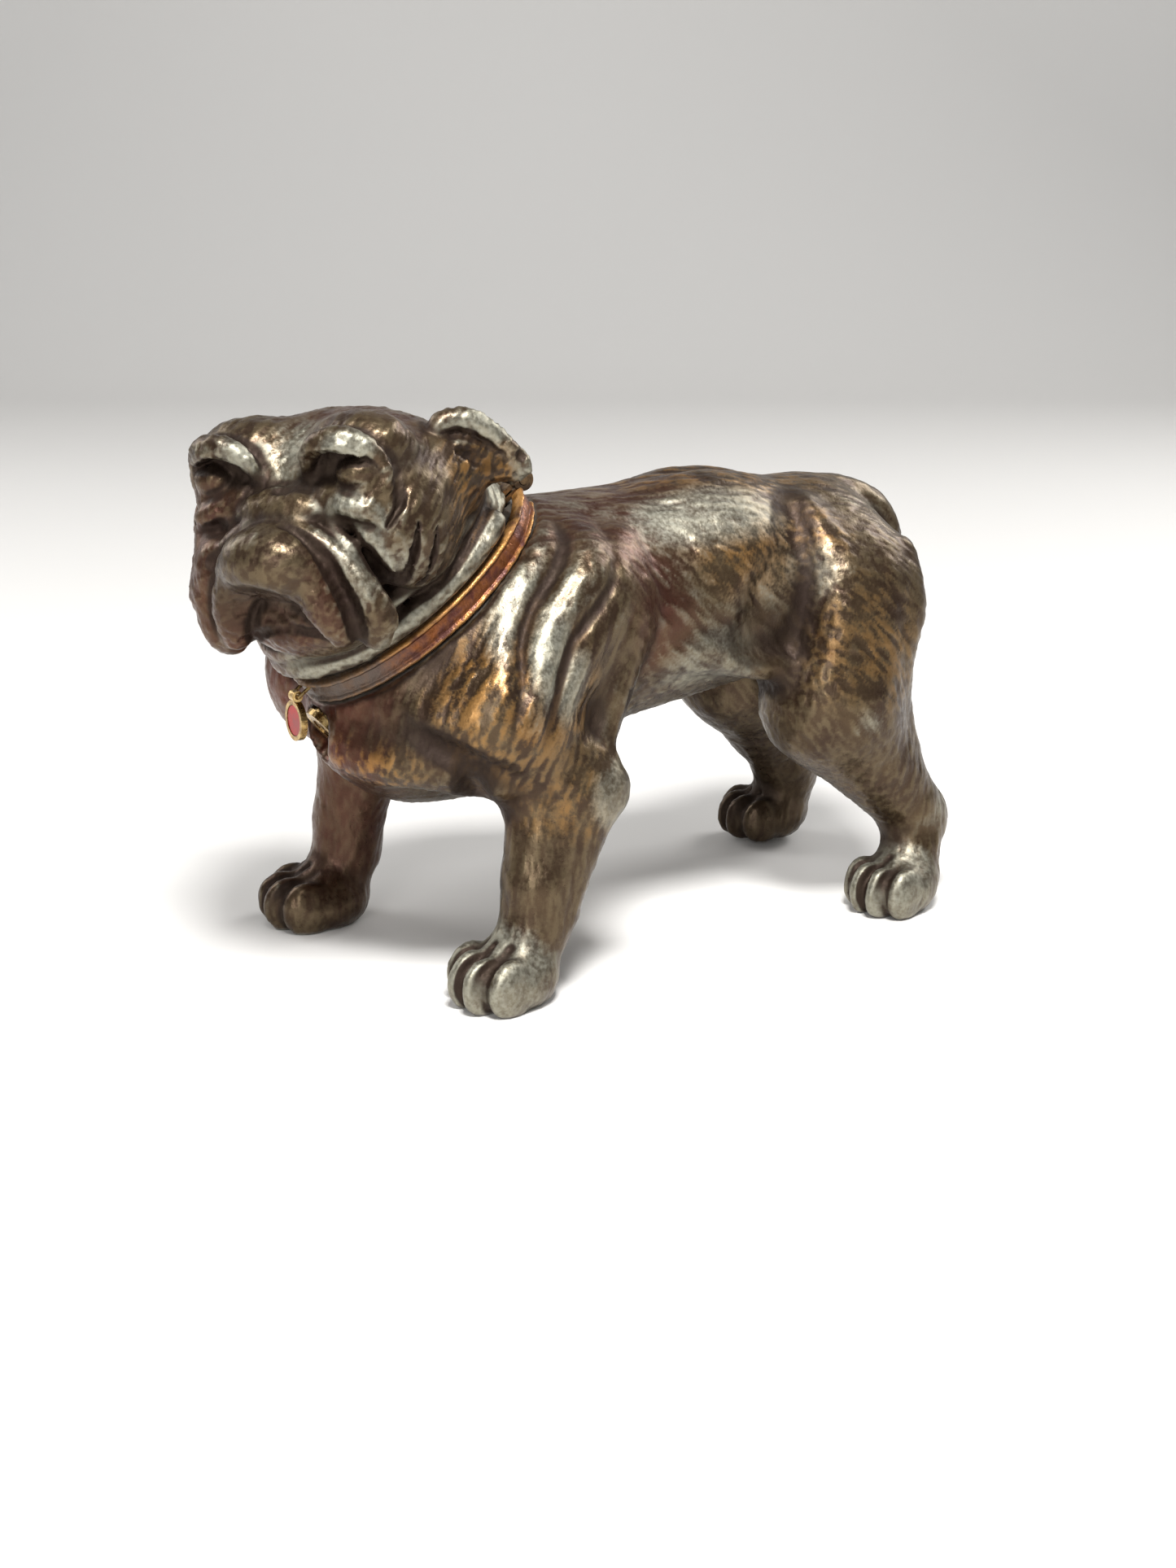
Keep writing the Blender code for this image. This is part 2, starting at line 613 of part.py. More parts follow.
def leaf_plate(name, side):
    """A flat leaf in the joint face; side is -1 on the body, 1 on the head."""
    bm = bmesh.new()
    low, high = sorted((side * FIT_GAP / 2, side * (FIT_GAP / 2 + LEAF_THICK)))
    size = Vector((2 * LEAF_HALF, HINGE_Y - LEAF_IN, high - low)) * MM
    middle = Vector((0, (HINGE_Y + LEAF_IN) / 2, (low + high) / 2)) * MM
    place = NECK @ Matrix.Translation(middle) @ Matrix.Diagonal((*size, 1.0))
    bmesh.ops.create_cube(bm, size=1.0, matrix=place)
    return object_from(bm, name, BANK, BRASS)


def knuckle(name, start, end):
    return drum(name, KNUCKLE_R, start, end, across_frame(HINGE_Y, 0.0), None, 24)


def hinge_leaves():
    inner = KNUCKLE_MIDDLE / 2
    outer = inner + KNUCKLE_GAP
    end = outer + KNUCKLE_SIDE
    bore = drum("knuckle_bore", KNUCKLE_BORE_R, -9, 9, across_frame(HINGE_Y, 0.0), None, 24)
    body_leaf = leaf_plate("hinge_leaf_body", -1)
    room = neck_box("middle_room", (-outer, outer), (HINGE_Y - KNUCKLE_R - FIT_GAP, 24), (-3, 3))
    boolean(body_leaf, room)
    boolean(body_leaf, knuckle("knuckle_left", outer, end), "UNION")
    boolean(body_leaf, knuckle("knuckle_right", -end, -outer), "UNION")
    boolean(body_leaf, bore)
    head_leaf = leaf_plate("hinge_leaf_head", 1)
    reach = (HINGE_Y - KNUCKLE_R - FIT_GAP, 24)
    for label, span in (("left", (inner, 12)), ("right", (-12, -inner))):
        boolean(head_leaf, neck_box("side_room_" + label, span, reach, (-3, 3)))
    boolean(head_leaf, knuckle("knuckle_middle", -inner, inner), "UNION")
    boolean(head_leaf, bore)
    for leaf, side in ((body_leaf, -1), (head_leaf, 1)):
        for label, x in (("left", SCREW_X), ("right", -SCREW_X)):
            frame = NECK @ Matrix.Translation(Vector((x, SCREW_Y, 0)) * MM)
            name = leaf.name + "_" + label
            boolean(leaf, drum(name + "_hole", SCREW_R + FIT_GAP, -4, 4, frame, None, 14))
            low, high = sorted((side * -0.2, side * (FIT_GAP / 2 + SCREW_HEAD_THICK)))
            boolean(leaf, drum(name + "_sink", SCREW_HEAD_R + 0.15, low, high, frame, None, 18))
    pivot_at(head_leaf, hinge_axis_point())


def leaf_screw(name, x, side):
    """A pan-headed pin screw, flush in its leaf."""
    frame = NECK @ Matrix.Translation(Vector((x, SCREW_Y, 0)) * MM)
    start = side * (FIT_GAP / 2 + 0.05)
    neck = start + side * (SCREW_HEAD_THICK - 0.1)
    low, high = sorted((start, neck))
    ob = drum(name, SCREW_HEAD_R, low, high, frame, BRASS, 18)
    low, high = sorted((start + side * 0.1, neck + side * SCREW_LENGTH))
    boolean(ob, drum(name + "_shank", SCREW_R, low, high, frame, None, 12), "UNION")
    slot_low, slot_high = sorted((start - side * 0.1, start + side * 0.12))
    across = (x - SCREW_SLOT_HALF, x + SCREW_SLOT_HALF)
    slot = neck_box(name + "_slot", across, (SCREW_Y - 1.2, SCREW_Y + 1.2), (slot_low, slot_high))
    boolean(ob, slot)
    if side > 0:
        pivot_at(ob, hinge_axis_point())
    return ob


def hinge_pin():
    half = KNUCKLE_MIDDLE / 2 + KNUCKLE_GAP + KNUCKLE_SIDE + 0.1
    return drum("hinge_pin", PIN_R, -half, half, across_frame(HINGE_Y, 0.0), STEEL, 24)


# ---------------------------------------------------------------- lock
def lock_barrel():
    ob = drum("lock_barrel", BARREL_R, BARREL_IN, LOCK_FACE + 0.4, LOCK, BRASS, 28)
    seat = LOCK_FACE + LOCK_PLAY
    flange = drum("lock_flange", FLANGE_R, seat, seat + FLANGE_THICK, LOCK, None, 28)
    boolean(ob, flange, "UNION")
    boolean(ob, drum("barrel_bore", BARREL_BORE_R, 8, 30, LOCK, None, 28))
    return ob


def lock_nut():
    ob = drum("lock_nut", NUT_ACROSS / 2, NUT_AT, NUT_AT + NUT_THICK, LOCK, BRASS, 6)
    boolean(ob, drum("nut_bore", BARREL_R + LOCK_PLAY, 8, 30, LOCK, None, 24))
    return ob


def lock_core():
    """The plug, the cam it turns and the screw that holds them together."""
    plug_out = LOCK_FACE + LOCK_PLAY + FLANGE_THICK - 0.15
    plug = drum("lock_plug", PLUG_R, PLUG_IN, plug_out, LOCK, BRASS, 28)
    width, tall, deep = KEYWAY
    keyway = neck_box(
        "keyway",
        (-width / 2, width / 2),
        (-plug_out - 1, -plug_out + deep),
        (LOCK_Z - tall / 2, LOCK_Z + tall / 2),
    )
    boolean(plug, keyway)
    boolean(plug, drum("plug_tapping", CAM_SCREW_R + LOCK_PLAY, 8, PLUG_IN + 3.2, LOCK, None, 14))
    cam = drum("lock_cam", CAM_HUB_R, CAM_AT, CAM_AT + CAM_THICK, LOCK, STEEL, 24)
    y = (-CAM_AT - CAM_THICK, -CAM_AT)
    arm = neck_box("cam_arm", (-CAM_HALF, CAM_HALF), y, (LOCK_Z, LOCK_Z + CAM_REACH))
    boolean(cam, arm, "UNION")
    boolean(cam, drum("cam_eye", CAM_SCREW_R + LOCK_PLAY, 8, 16, LOCK, None, 14))
    head_at = CAM_AT - LOCK_PLAY - CAM_SCREW_HEAD
    screw = drum("cam_screw", CAM_SCREW_HEAD_R, head_at, CAM_AT - LOCK_PLAY, LOCK, STEEL, 18)
    shank = drum("cam_screw_shank", CAM_SCREW_R, head_at + 0.2, PLUG_IN + 2.7, LOCK, None, 12)
    boolean(screw, shank, "UNION")
    across = (-SCREW_SLOT_HALF, SCREW_SLOT_HALF)
    depth = (-head_at - 0.2, -head_at + 0.3)
    slot = neck_box("cam_screw_slot", across, depth, (LOCK_Z - 1.2, LOCK_Z + 1.2))
    boolean(screw, slot)
    for ob in (plug, cam, screw):
        pivot_at(ob, neck_point(0, -CAM_AT, LOCK_Z))


def keeper():
    """A hooked strip that hangs from the head; the cam turns in over its foot."""
    y = (-KEEPER_AT - KEEPER_THICK, -KEEPER_AT)
    foot_z = (KEEPER_HOOK_Z - KEEPER_HOOK_THICK, KEEPER_HOOK_Z)
    strip = neck_box("lock_keeper", KEEPER_X, y, (foot_z[0], KEEPER_TOP), BANK)
    finish(strip, "lock_keeper", STEEL)
    foot = neck_box("keeper_foot", KEEPER_X, (-KEEPER_HOOK_OUT, -KEEPER_AT), foot_z)
    boolean(strip, foot, "UNION")
    middle = sum(KEEPER_X) / 2
    for z in KEEPER_SCREW_Z:
        boolean(strip, drum("keeper_eye", SCREW_R + FIT_GAP, 8, 11, lock_frame(middle, z), None, 12))
    pivot_at(strip, hinge_axis_point())
    for label, z in zip(("lower", "upper"), KEEPER_SCREW_Z):
        name = "keeper_screw_" + label
        frame = lock_frame(middle, z)
        head_at = KEEPER_AT - LOCK_PLAY - KEEPER_SCREW_HEAD
        screw = drum(name, KEEPER_SCREW_HEAD_R, head_at, KEEPER_AT - LOCK_PLAY, frame, STEEL, 18)
        shank = drum(name + "_shank", SCREW_R, head_at + 0.2, KEEPER_AT + SCREW_LENGTH + 0.6, frame, None, 12)
        boolean(screw, shank, "UNION")
        slot = neck_box(
            name + "_slot",
            (middle - 2, middle + 2),
            (-head_at - 0.18, -head_at + 1),
            (z - SCREW_SLOT_HALF, z + SCREW_SLOT_HALF),
        )
        boolean(screw, slot)
        pivot_at(screw, hinge_axis_point())


body_casting()
head_casting()
collar_band()
tag_staple()
collar_tag()
hinge_leaves()
leaf_screw("leaf_screw_body_left", SCREW_X, -1)
leaf_screw("leaf_screw_body_right", -SCREW_X, -1)
leaf_screw("leaf_screw_head_left", SCREW_X, 1)
leaf_screw("leaf_screw_head_right", -SCREW_X, 1)
hinge_pin()
lock_barrel()
lock_nut()
lock_core()
keeper()
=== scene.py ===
"""Figural bulldog still bank: the sculpted castings, the collar and every finish.

Shapes are worked in millimetres and turned to metres when they become meshes.
The dog faces -Y and its left side is +X, in the same frame as the CAD.
"""
import math

import bmesh
import bpy
import numpy as np
from mathutils import Matrix, Vector


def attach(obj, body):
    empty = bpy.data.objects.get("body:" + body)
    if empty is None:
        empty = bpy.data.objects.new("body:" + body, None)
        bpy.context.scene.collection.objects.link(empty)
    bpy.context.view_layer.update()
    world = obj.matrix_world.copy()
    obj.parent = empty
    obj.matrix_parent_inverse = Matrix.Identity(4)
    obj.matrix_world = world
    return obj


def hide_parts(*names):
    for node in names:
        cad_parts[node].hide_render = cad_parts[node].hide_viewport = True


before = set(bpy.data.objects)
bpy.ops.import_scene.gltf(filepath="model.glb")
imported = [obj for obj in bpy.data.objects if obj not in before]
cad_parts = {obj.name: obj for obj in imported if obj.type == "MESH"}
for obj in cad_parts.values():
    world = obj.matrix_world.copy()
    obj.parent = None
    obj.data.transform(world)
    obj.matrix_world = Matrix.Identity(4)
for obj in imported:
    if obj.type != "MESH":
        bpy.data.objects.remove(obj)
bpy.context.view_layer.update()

MM = 0.001
BODY_STEP = 0.36
HEAD_STEP = 0.3


# ---------------------------------------------------------------- places
def turned(yaw=0.0, pitch=0.0, roll=0.0):
    """Columns are the turned x, y and z axes."""
    y, p, r = (math.radians(v) for v in (yaw, pitch, roll))
    rz = np.array([[math.cos(y), -math.sin(y), 0], [math.sin(y), math.cos(y), 0], [0, 0, 1]])
    rx = np.array([[1, 0, 0], [0, math.cos(p), -math.sin(p)], [0, math.sin(p), math.cos(p)]])
    ry = np.array([[math.cos(r), 0, math.sin(r)], [0, 1, 0], [-math.sin(r), 0, math.cos(r)]])
    return rz @ rx @ ry


class Place:
    """A local frame: its origin in millimetres and its axes."""

    def __init__(self, origin, axes=None):
        self.origin = np.array(origin, float)
        self.axes = np.eye(3) if axes is None else axes

    def point(self, p):
        return self.origin + self.axes @ np.array(p, float)

    def local(self, points):
        return (points - self.origin) @ self.axes


SHIFT = np.array([-1.5, 8.8, 0.0])
DOG = Place(SHIFT)
HEAD = Place(SHIFT + (2.4, -40.0, 57.8), turned(32.0, -4.0, -6.5))
NECK = Place(SHIFT + (0.5, -31.98, 48.46), turned(0.0, 38.0, 0.0))
LEFT_RIGHT = (1, -1)


# ---------------------------------------------------------------- distance field
def corners(f):
    """A cell's eight corners and their weights at the fractions f across it."""
    for a in (0, 1):
        for b in (0, 1):
            for c in (0, 1):
                w = (f[:, 0] if a else 1 - f[:, 0]) * (f[:, 1] if b else 1 - f[:, 1])
                yield a, b, c, w * (f[:, 2] if c else 1 - f[:, 2])


class Field:
    """A distance field on a grid that shapes are melted into or carved out of."""

    FAR = 6.0

    def __init__(self, low, high, step):
        self.step = step
        self.low = np.array(low, float)
        count = np.ceil((np.array(high, float) - self.low) / step).astype(int) + 1
        self.count = count
        self.axis = [(self.low[i] + step * np.arange(count[i])).astype(np.float32) for i in range(3)]
        self.d = np.full(count, self.FAR, np.float32)

    def window(self, low, high, pad):
        cut = []
        for i in range(3):
            a = int(max(0, math.floor((low[i] - pad - self.low[i]) / self.step)))
            b = int(min(self.count[i], math.ceil((high[i] + pad - self.low[i]) / self.step) + 1))
            if b <= a:
                return None, None
            cut.append(slice(a, b))
        grid = np.meshgrid(*[self.axis[i][cut[i]] for i in range(3)], indexing="ij", sparse=True)
        return tuple(cut), grid

    def add(self, shape, melt=1.0):
        low, high, distance = shape
        cut, grid = self.window(low, high, melt + 2.5)
        if cut is None:
            return
        new, old = distance(*grid), self.d[cut]
        soft = np.clip(melt - np.abs(old - new), 0, None) / max(melt, 1e-6)
        self.d[cut] = np.minimum(old, new) - soft * soft * melt * 0.25

    def cut(self, shape, melt=0.5):
        low, high, distance = shape
        cut, grid = self.window(low, high, melt + 1.0)
        if cut is None:
            return
        new, old = -distance(*grid), self.d[cut]
        soft = np.clip(melt - np.abs(old - new), 0, None) / max(melt, 1e-6)
        self.d[cut] = np.maximum(old, new) + soft * soft * melt * 0.25

    def sample(self, points):
        """Distance at points, by trilinear interpolation."""
        q = (points - self.low) / self.step
        q = np.clip(q, 0, self.count - 1.001)
        i = np.floor(q).astype(int)
        f = q - i
        total = np.zeros(len(points))
        for a, b, c, w in corners(f):
            total += w * self.d[i[:, 0] + a, i[:, 1] + b, i[:, 2] + c]
        return total


def in_axes(axes, x, y, z):
    return [x * axes[0, i] + y * axes[1, i] + z * axes[2, i] for i in range(3)]


def ball(place, centre, radii, turn=(0, 0, 0)):
    centre = place.point(centre)
    radii = np.array(radii if np.ndim(radii) else (radii,) * 3, float)
    axes = place.axes @ turned(*turn)
    reach = np.sqrt(((axes * radii) ** 2).sum(1))

    def distance(x, y, z):
        x, y, z = x - centre[0], y - centre[1], z - centre[2]
        q = in_axes(axes, x, y, z)
        k0 = np.sqrt(sum((q[i] / radii[i]) ** 2 for i in range(3)))
        k1 = np.sqrt(sum((q[i] / radii[i] ** 2) ** 2 for i in range(3))) + 1e-6
        return (k0 * (k0 - 1.0) / k1).astype(np.float32)

    return centre - reach, centre + reach, distance


def limb(place, start, start_r, end, end_r):
    """A round bar whose radius runs from one end's to the other's."""
    a, b = place.point(start), place.point(end)
    low = np.minimum(a - start_r, b - end_r)
    high = np.maximum(a + start_r, b + end_r)
    along = b - a
    square = float(along @ along) + 1e-9

    def distance(x, y, z):
        px, py, pz = x - a[0], y - a[1], z - a[2]
        t = np.clip((px * along[0] + py * along[1] + pz * along[2]) / square, 0, 1)
        d = np.sqrt((px - t * along[0]) ** 2 + (py - t * along[1]) ** 2 + (pz - t * along[2]) ** 2)
        return (d - (start_r + (end_r - start_r) * t)).astype(np.float32)

    return low, high, distance


def curve_through(points, per_span=5):
    p = np.array(points, float)
    p = np.vstack([2 * p[0] - p[1], p, 2 * p[-1] - p[-2]])
    out = []
    for i in range(1, len(p) - 2):
        for j in range(per_span):
            t = j / per_span
            a = -p[i - 1] + 3 * p[i] - 3 * p[i + 1] + p[i + 2]
            b = 2 * p[i - 1] - 5 * p[i] + 4 * p[i + 1] - p[i + 2]
            out.append(0.5 * (2 * p[i] + (p[i + 1] - p[i - 1]) * t + b * t * t + a * t ** 3))
    out.append(p[-2])
    return np.array(out)


def roll(place, points, radii, per_span=4):
    """A bent round bar for rolls, folds, rims and grooves."""
    path = curve_through(points, per_span)
    radii = radii if np.ndim(radii) else (radii, radii)
    r = np.interp(np.linspace(0, 1, len(path)), np.linspace(0, 1, len(radii)), radii)
    spans = [limb(place, path[i], r[i], path[i + 1], r[i + 1]) for i in range(len(path) - 1)]
    low = np.min([s[0] for s in spans], axis=0)
    high = np.max([s[1] for s in spans], axis=0)

    def distance(x, y, z):
        d = spans[0][2](x, y, z)
        for s in spans[1:]:
            d = np.minimum(d, s[2](x, y, z))
        return d

    return low, high, distance


def slab(place, low, high, rounding=0.0):
    """A box between two corners of the place's own axes."""
    low, high = np.array(low, float), np.array(high, float)
    middle, half = place.point((low + high) / 2), (high - low) / 2
    reach = np.abs(place.axes) @ half

    def distance(x, y, z):
        x, y, z = x - middle[0], y - middle[1], z - middle[2]
        q = [np.abs(v) - h + rounding for v, h in zip(in_axes(place.axes, x, y, z), half)]
        out = np.sqrt(sum(np.maximum(v, 0) ** 2 for v in q))
        inside = np.minimum(np.maximum(np.maximum(q[0], q[1]), q[2]), 0)
        return (out + inside - rounding).astype(np.float32)

    return middle - reach, middle + reach, distance


def oval_drum(place, half_x, half_y, start, end, bore=None):
    """An oval drum along the place's Z, with an oval bore if given."""
    middle = place.point((0, 0, (start + end) / 2))
    tall = (end - start) / 2
    reach = np.abs(place.axes) @ np.array([half_x, half_y, tall])

    def oval(u, v, a, b):
        k0 = np.sqrt((u / a) ** 2 + (v / b) ** 2)
        k1 = np.sqrt((u / a ** 2) ** 2 + (v / b ** 2) ** 2) + 1e-6
        return k0 * (k0 - 1.0) / k1

    def distance(x, y, z):
        x, y, z = x - middle[0], y - middle[1], z - middle[2]
        q = in_axes(place.axes, x, y, z)
        d = np.maximum(oval(q[0], q[1], half_x, half_y), np.abs(q[2]) - tall)
        if bore:
            d = np.maximum(d, -oval(q[0], q[1], *bore))
        return d.astype(np.float32)

    return middle - reach, middle + reach, distance


def skin_of(field):
    """The zero level as quads: one vertex per crossed cell, one quad per crossed edge."""
    d = field.d
    inside = d < 0
    cells = tuple(n - 1 for n in d.shape)
    total = np.zeros(cells + (3,), np.float32)
    hits = np.zeros(cells, np.int16)
    crossings = []
    for axis in range(3):
        lower = [slice(None)] * 3
        upper = [slice(None)] * 3
        lower[axis], upper[axis] = slice(0, -1), slice(1, None)
        ia, ib = inside[tuple(lower)], inside[tuple(upper)]
        at = np.argwhere(ia != ib)
        da = d[tuple(lower)][tuple(at.T)]
        db = d[tuple(upper)][tuple(at.T)]
        where = at.astype(np.float32)
        where[:, axis] += da / (da - db)
        u, v = [i for i in range(3) if i != axis]
        for du in (0, 1):
            for dv in (0, 1):
                c = at.copy()
                c[:, u] -= du
                c[:, v] -= dv
                ok = (c >= 0).all(1) & (c < np.array(cells)).all(1)
                np.add.at(total, tuple(c[ok].T), where[ok])
                np.add.at(hits, tuple(c[ok].T), 1)
        keep = (at[:, u] > 0) & (at[:, v] > 0) & (at[:, u] < cells[u]) & (at[:, v] < cells[v])
        crossings.append((axis, u, v, at[keep], ia[tuple(at[keep].T)]))
    used = hits > 0
    number = np.full(cells, -1, np.int64)
    number[used] = np.arange(int(used.sum()))
    verts = total[used] / hits[used][:, None] * field.step + field.low
    quads = []
    for axis, u, v, at, flag in crossings:
        ring = []
        for du, dv in ((0, 0), (1, 0), (1, 1), (0, 1)):
            c = at.copy()
            c[:, u] -= du
            c[:, v] -= dv
            ring.append(number[tuple(c.T)])
        quad = np.stack(ring, 1)
        forward = flag if axis != 1 else ~flag
        quad[~forward] = quad[~forward][:, ::-1]
        quads.append(quad)
    return verts, np.vstack(quads)


def normals_of(verts, quads):
    cross = np.cross(verts[quads[:, 2]] - verts[quads[:, 0]], verts[quads[:, 3]] - verts[quads[:, 1]])
    total = np.zeros_like(verts)
    for i in range(4):
        np.add.at(total, quads[:, i], cross)
    return total / (np.linalg.norm(total, axis=1, keepdims=True) + 1e-9)


def relaxed(verts, quads, rounds=2, share=0.5):
    for _ in range(rounds):
        total = np.zeros_like(verts)
        count = np.zeros(len(verts))
        for i in range(4):
            np.add.at(total, quads[:, i], verts[quads[:, (i + 1) % 4]] + verts[quads[:, (i + 3) % 4]])
            np.add.at(count, quads[:, i], 2)
        verts = verts + share * (total / count[:, None] - verts)
    return verts


# ---------------------------------------------------------------- chased texture
def lattice(i, j, k, seed):
    """A repeatable number from -1 to 1 for each lattice point."""
    h = (i * 73856093) ^ (j * 19349663) ^ (k * 83492791) ^ (seed * 2654435761)
    h = (h ^ (h >> 13)) * 1274126177
    h = (h ^ (h >> 16)) & 0xFFFF
    return h / 32767.5 - 1.0


def noise(points, seed):
    i = np.floor(points).astype(np.int64)
    f = points - i
    f = f * f * (3 - 2 * f)
    total = np.zeros(len(points))
    for a, b, c, w in corners(f):
        total += w * lattice(i[:, 0] + a, i[:, 1] + b, i[:, 2] + c, seed)
    return total


def strokes(points, along, wide, long, seed):
    """Noise drawn out along one direction, like short chased hairs."""
    along = np.array(along, float)
    along = along / np.linalg.norm(along)
    run = points @ along
    q = points / wide - np.outer(run, along) * (1 / wide - 1 / long)
    return noise(q, seed)


def fade(value, start, end):
    """0 before start, 1 after end, smooth between."""
    t = np.clip((value - start) / (end - start), 0, 1)
    return t * t * (3 - 2 * t)


def near(points, centre, radii):
    """1 at the centre of an oval cloud, fading to 0 at its edge."""
    q = (points - np.array(centre, float)) / np.array(radii, float)
    return np.clip(1 - (q * q).sum(1), 0, 1)


# ---------------------------------------------------------------- body
TOES = ((-0.66, 0.30, 0.34), (-0.24, 0.56, 0.37), (0.24, 0.56, 0.37), (0.66, 0.30, 0.34))


def paw(f, centre, radii, turn):
    """A paw with four toes and their grooves."""
    p = Place(DOG.point(centre), turned(turn))
    rx, ry, rz = radii
    f.add(ball(p, (0, 0.6, 0), (rx * 0.94, ry * 0.86, rz)), 2.2)
    for side, forward, size in TOES:
        toe = (side * rx, -forward * ry, rz * 0.02)
        f.add(ball(p, toe, (size * rx * 0.86, ry * 0.48, rz * 0.86)), 0.5)
    for side in (-0.45, 0, 0.45):
        top = (side * rx * 0.8, -0.1 * ry, rz * 1.02)
        front = (side * rx, -0.86 * ry, rz * 0.45)
        foot = (side * rx * 1.05, -1.02 * ry, -rz * 0.5)
        f.cut(roll(p, (top, front, foot), (0.15, 0.3, 0.3)), 0.9)


BODY_FORMS = (
    ("ball", (1, -21, 38), (16.5, 17, 17), 0),
    ("limb", (1, -16, 41.3), 15.3, (1, 10, 43.6), 13.8, 4),
    ("limb", (1, 8, 45.6), 12.2, (1, 24, 44.6), 11.3, 4),
    ("ball", (1, 27.2, 43.4), (13.5, 10.2, 11.8), 4),
    ("limb", (1, -24, 42), 14, (0.8, -32.5, 45.5), 13.6, 4),
    ("ball", (0.5, -31, 33), (14, 13, 12.5), 4),
    # near fore leg
    ("limb", (10.5, -14, 45), 9, (14.5, -27, 34), 8.6, 3),
    ("limb", (14.5, -27, 32), 8, (17.8, -18.6, 25.5), 5.6, 3),
    ("ball", (20.2, -15.6, 24.6), (3.2, 3.3, 3.4), 0.9),
    ("limb", (17.6, -21.8, 23.5), 5.5, (19.6, -24.4, 13.5), 4.2, 2.4),
    ("limb", (19.8, -17.4, 23), 3.6, (19.9, -22.6, 12.5), 3.6, 2),
    ("limb", (19.6, -24.4, 13.5), 4.2, (20, -24.8, 9), 3.9, 1.5),
    ("limb", (20, -24.8, 9), 3.9, (20.3, -27.2, 5), 4, 2),
    # far fore leg
    ("limb", (-8.5, -18, 45), 9, (-13.2, -35.2, 35), 8.6, 3),
    ("limb", (-13, -34.5, 33), 8, (-15.5, -28, 25), 6.4, 3),
    ("ball", (-16.5, -24.4, 22.6), (3, 3.2, 3.4), 2),
    ("limb", (-15.5, -30.5, 23.5), 5.8, (-17.3, -32.2, 13), 4.4, 3),
    ("limb", (-17.3, -32.2, 13), 4.4, (-17.5, -32.4, 9), 4, 1.5),
    ("limb", (-17.5, -32.4, 9), 4, (-17.3, -34.6, 5), 4.1, 2),
    # near hind leg
    ("limb", (9, 27.5, 42), 9.8, (12.5, 23.5, 29), 9, 3),
    ("limb", (12.5, 23.5, 28), 8.4, (14, 34.5, 14), 4.7, 3),
    ("ball", (14, 38.4, 10.8), (2.8, 2.9, 3.9), 1.6),
    ("limb", (14, 36.6, 11), 4.1, (16.3, 34.4, 5), 3.9, 2),
    # far hind leg
    ("limb", (-7, 28, 42), 9.8, (-10.5, 24.5, 29), 9, 3),
    ("limb", (-10.5, 24.5, 28), 8.2, (-14, 34, 14), 4.6, 3),
    ("ball", (-14, 37.2, 10.6), (2.8, 3, 3.8), 1.6),
    ("limb", (-14, 35.6, 12), 4.2, (-15.5, 35.6, 5.6), 4, 2),
)
PAWS = (
    ((20.4, -29.4, 3), (6.2, 6.8, 4.3), 8),
    ((-17, -37.2, 3), (6.6, 7.2, 4.3), -10),
    ((17.3, 31, 3), (5.8, 6.2, 4.1), 10),
    ((-16.4, 33.2, 3.8), (5.8, 6.2, 3.9), -10),
)
TAIL = ((1, 25, 52.2), (1.4, 31.5, 52.8), (2.4, 36.2, 50.8), (3.2, 38.2, 47.4), (3, 37.8, 45.8))
BODY_ROLLS = (
    # pectoral muscle, its lower edge and the point of the shoulder
    (((9, -36, 38), (13, -34.5, 33), (17, -30, 28)), (2, 4.4, 3), 4),
    (((-6, -39, 31), (3, -41, 29.2), (11, -38.4, 28.6), (16.4, -33, 28.6)),
     (1.6, 2.8, 2.8, 1.8), 3),
    # shoulder blade's rear edge
    (((11, -8, 52), (15.6, -9.4, 44), (17.6, -12.5, 35), (18.6, -15.5, 28)),
     (1, 2, 2.2, 1.4), 3),
    # skin drawn from the flank to the stifle
    (((12.4, -4, 38), (13.6, 3, 37.6), (13.4, 10, 35.4), (13.4, 17, 33.4)),
     (0.8, 1.9, 2, 1.4), 3),
    # haunch and hip bone
    (((9, 20.5, 53.6), (12.8, 22, 48), (16.2, 21.6, 41), (17.2, 20, 33)),
     (1, 1.7, 2.2, 1.6), 4),
    (((13.4, 33.5, 47.5), (16, 33, 40), (15.8, 31, 32), (15, 34, 22)),
     (1.2, 2, 2, 1), 2.4),
    # sinew of the near fore leg
    (((18.6, -16.6, 22), (21.2, -19.6, 17), (22.2, -21.6, 10)), (1, 1.2, 0.8), 1.6),
)
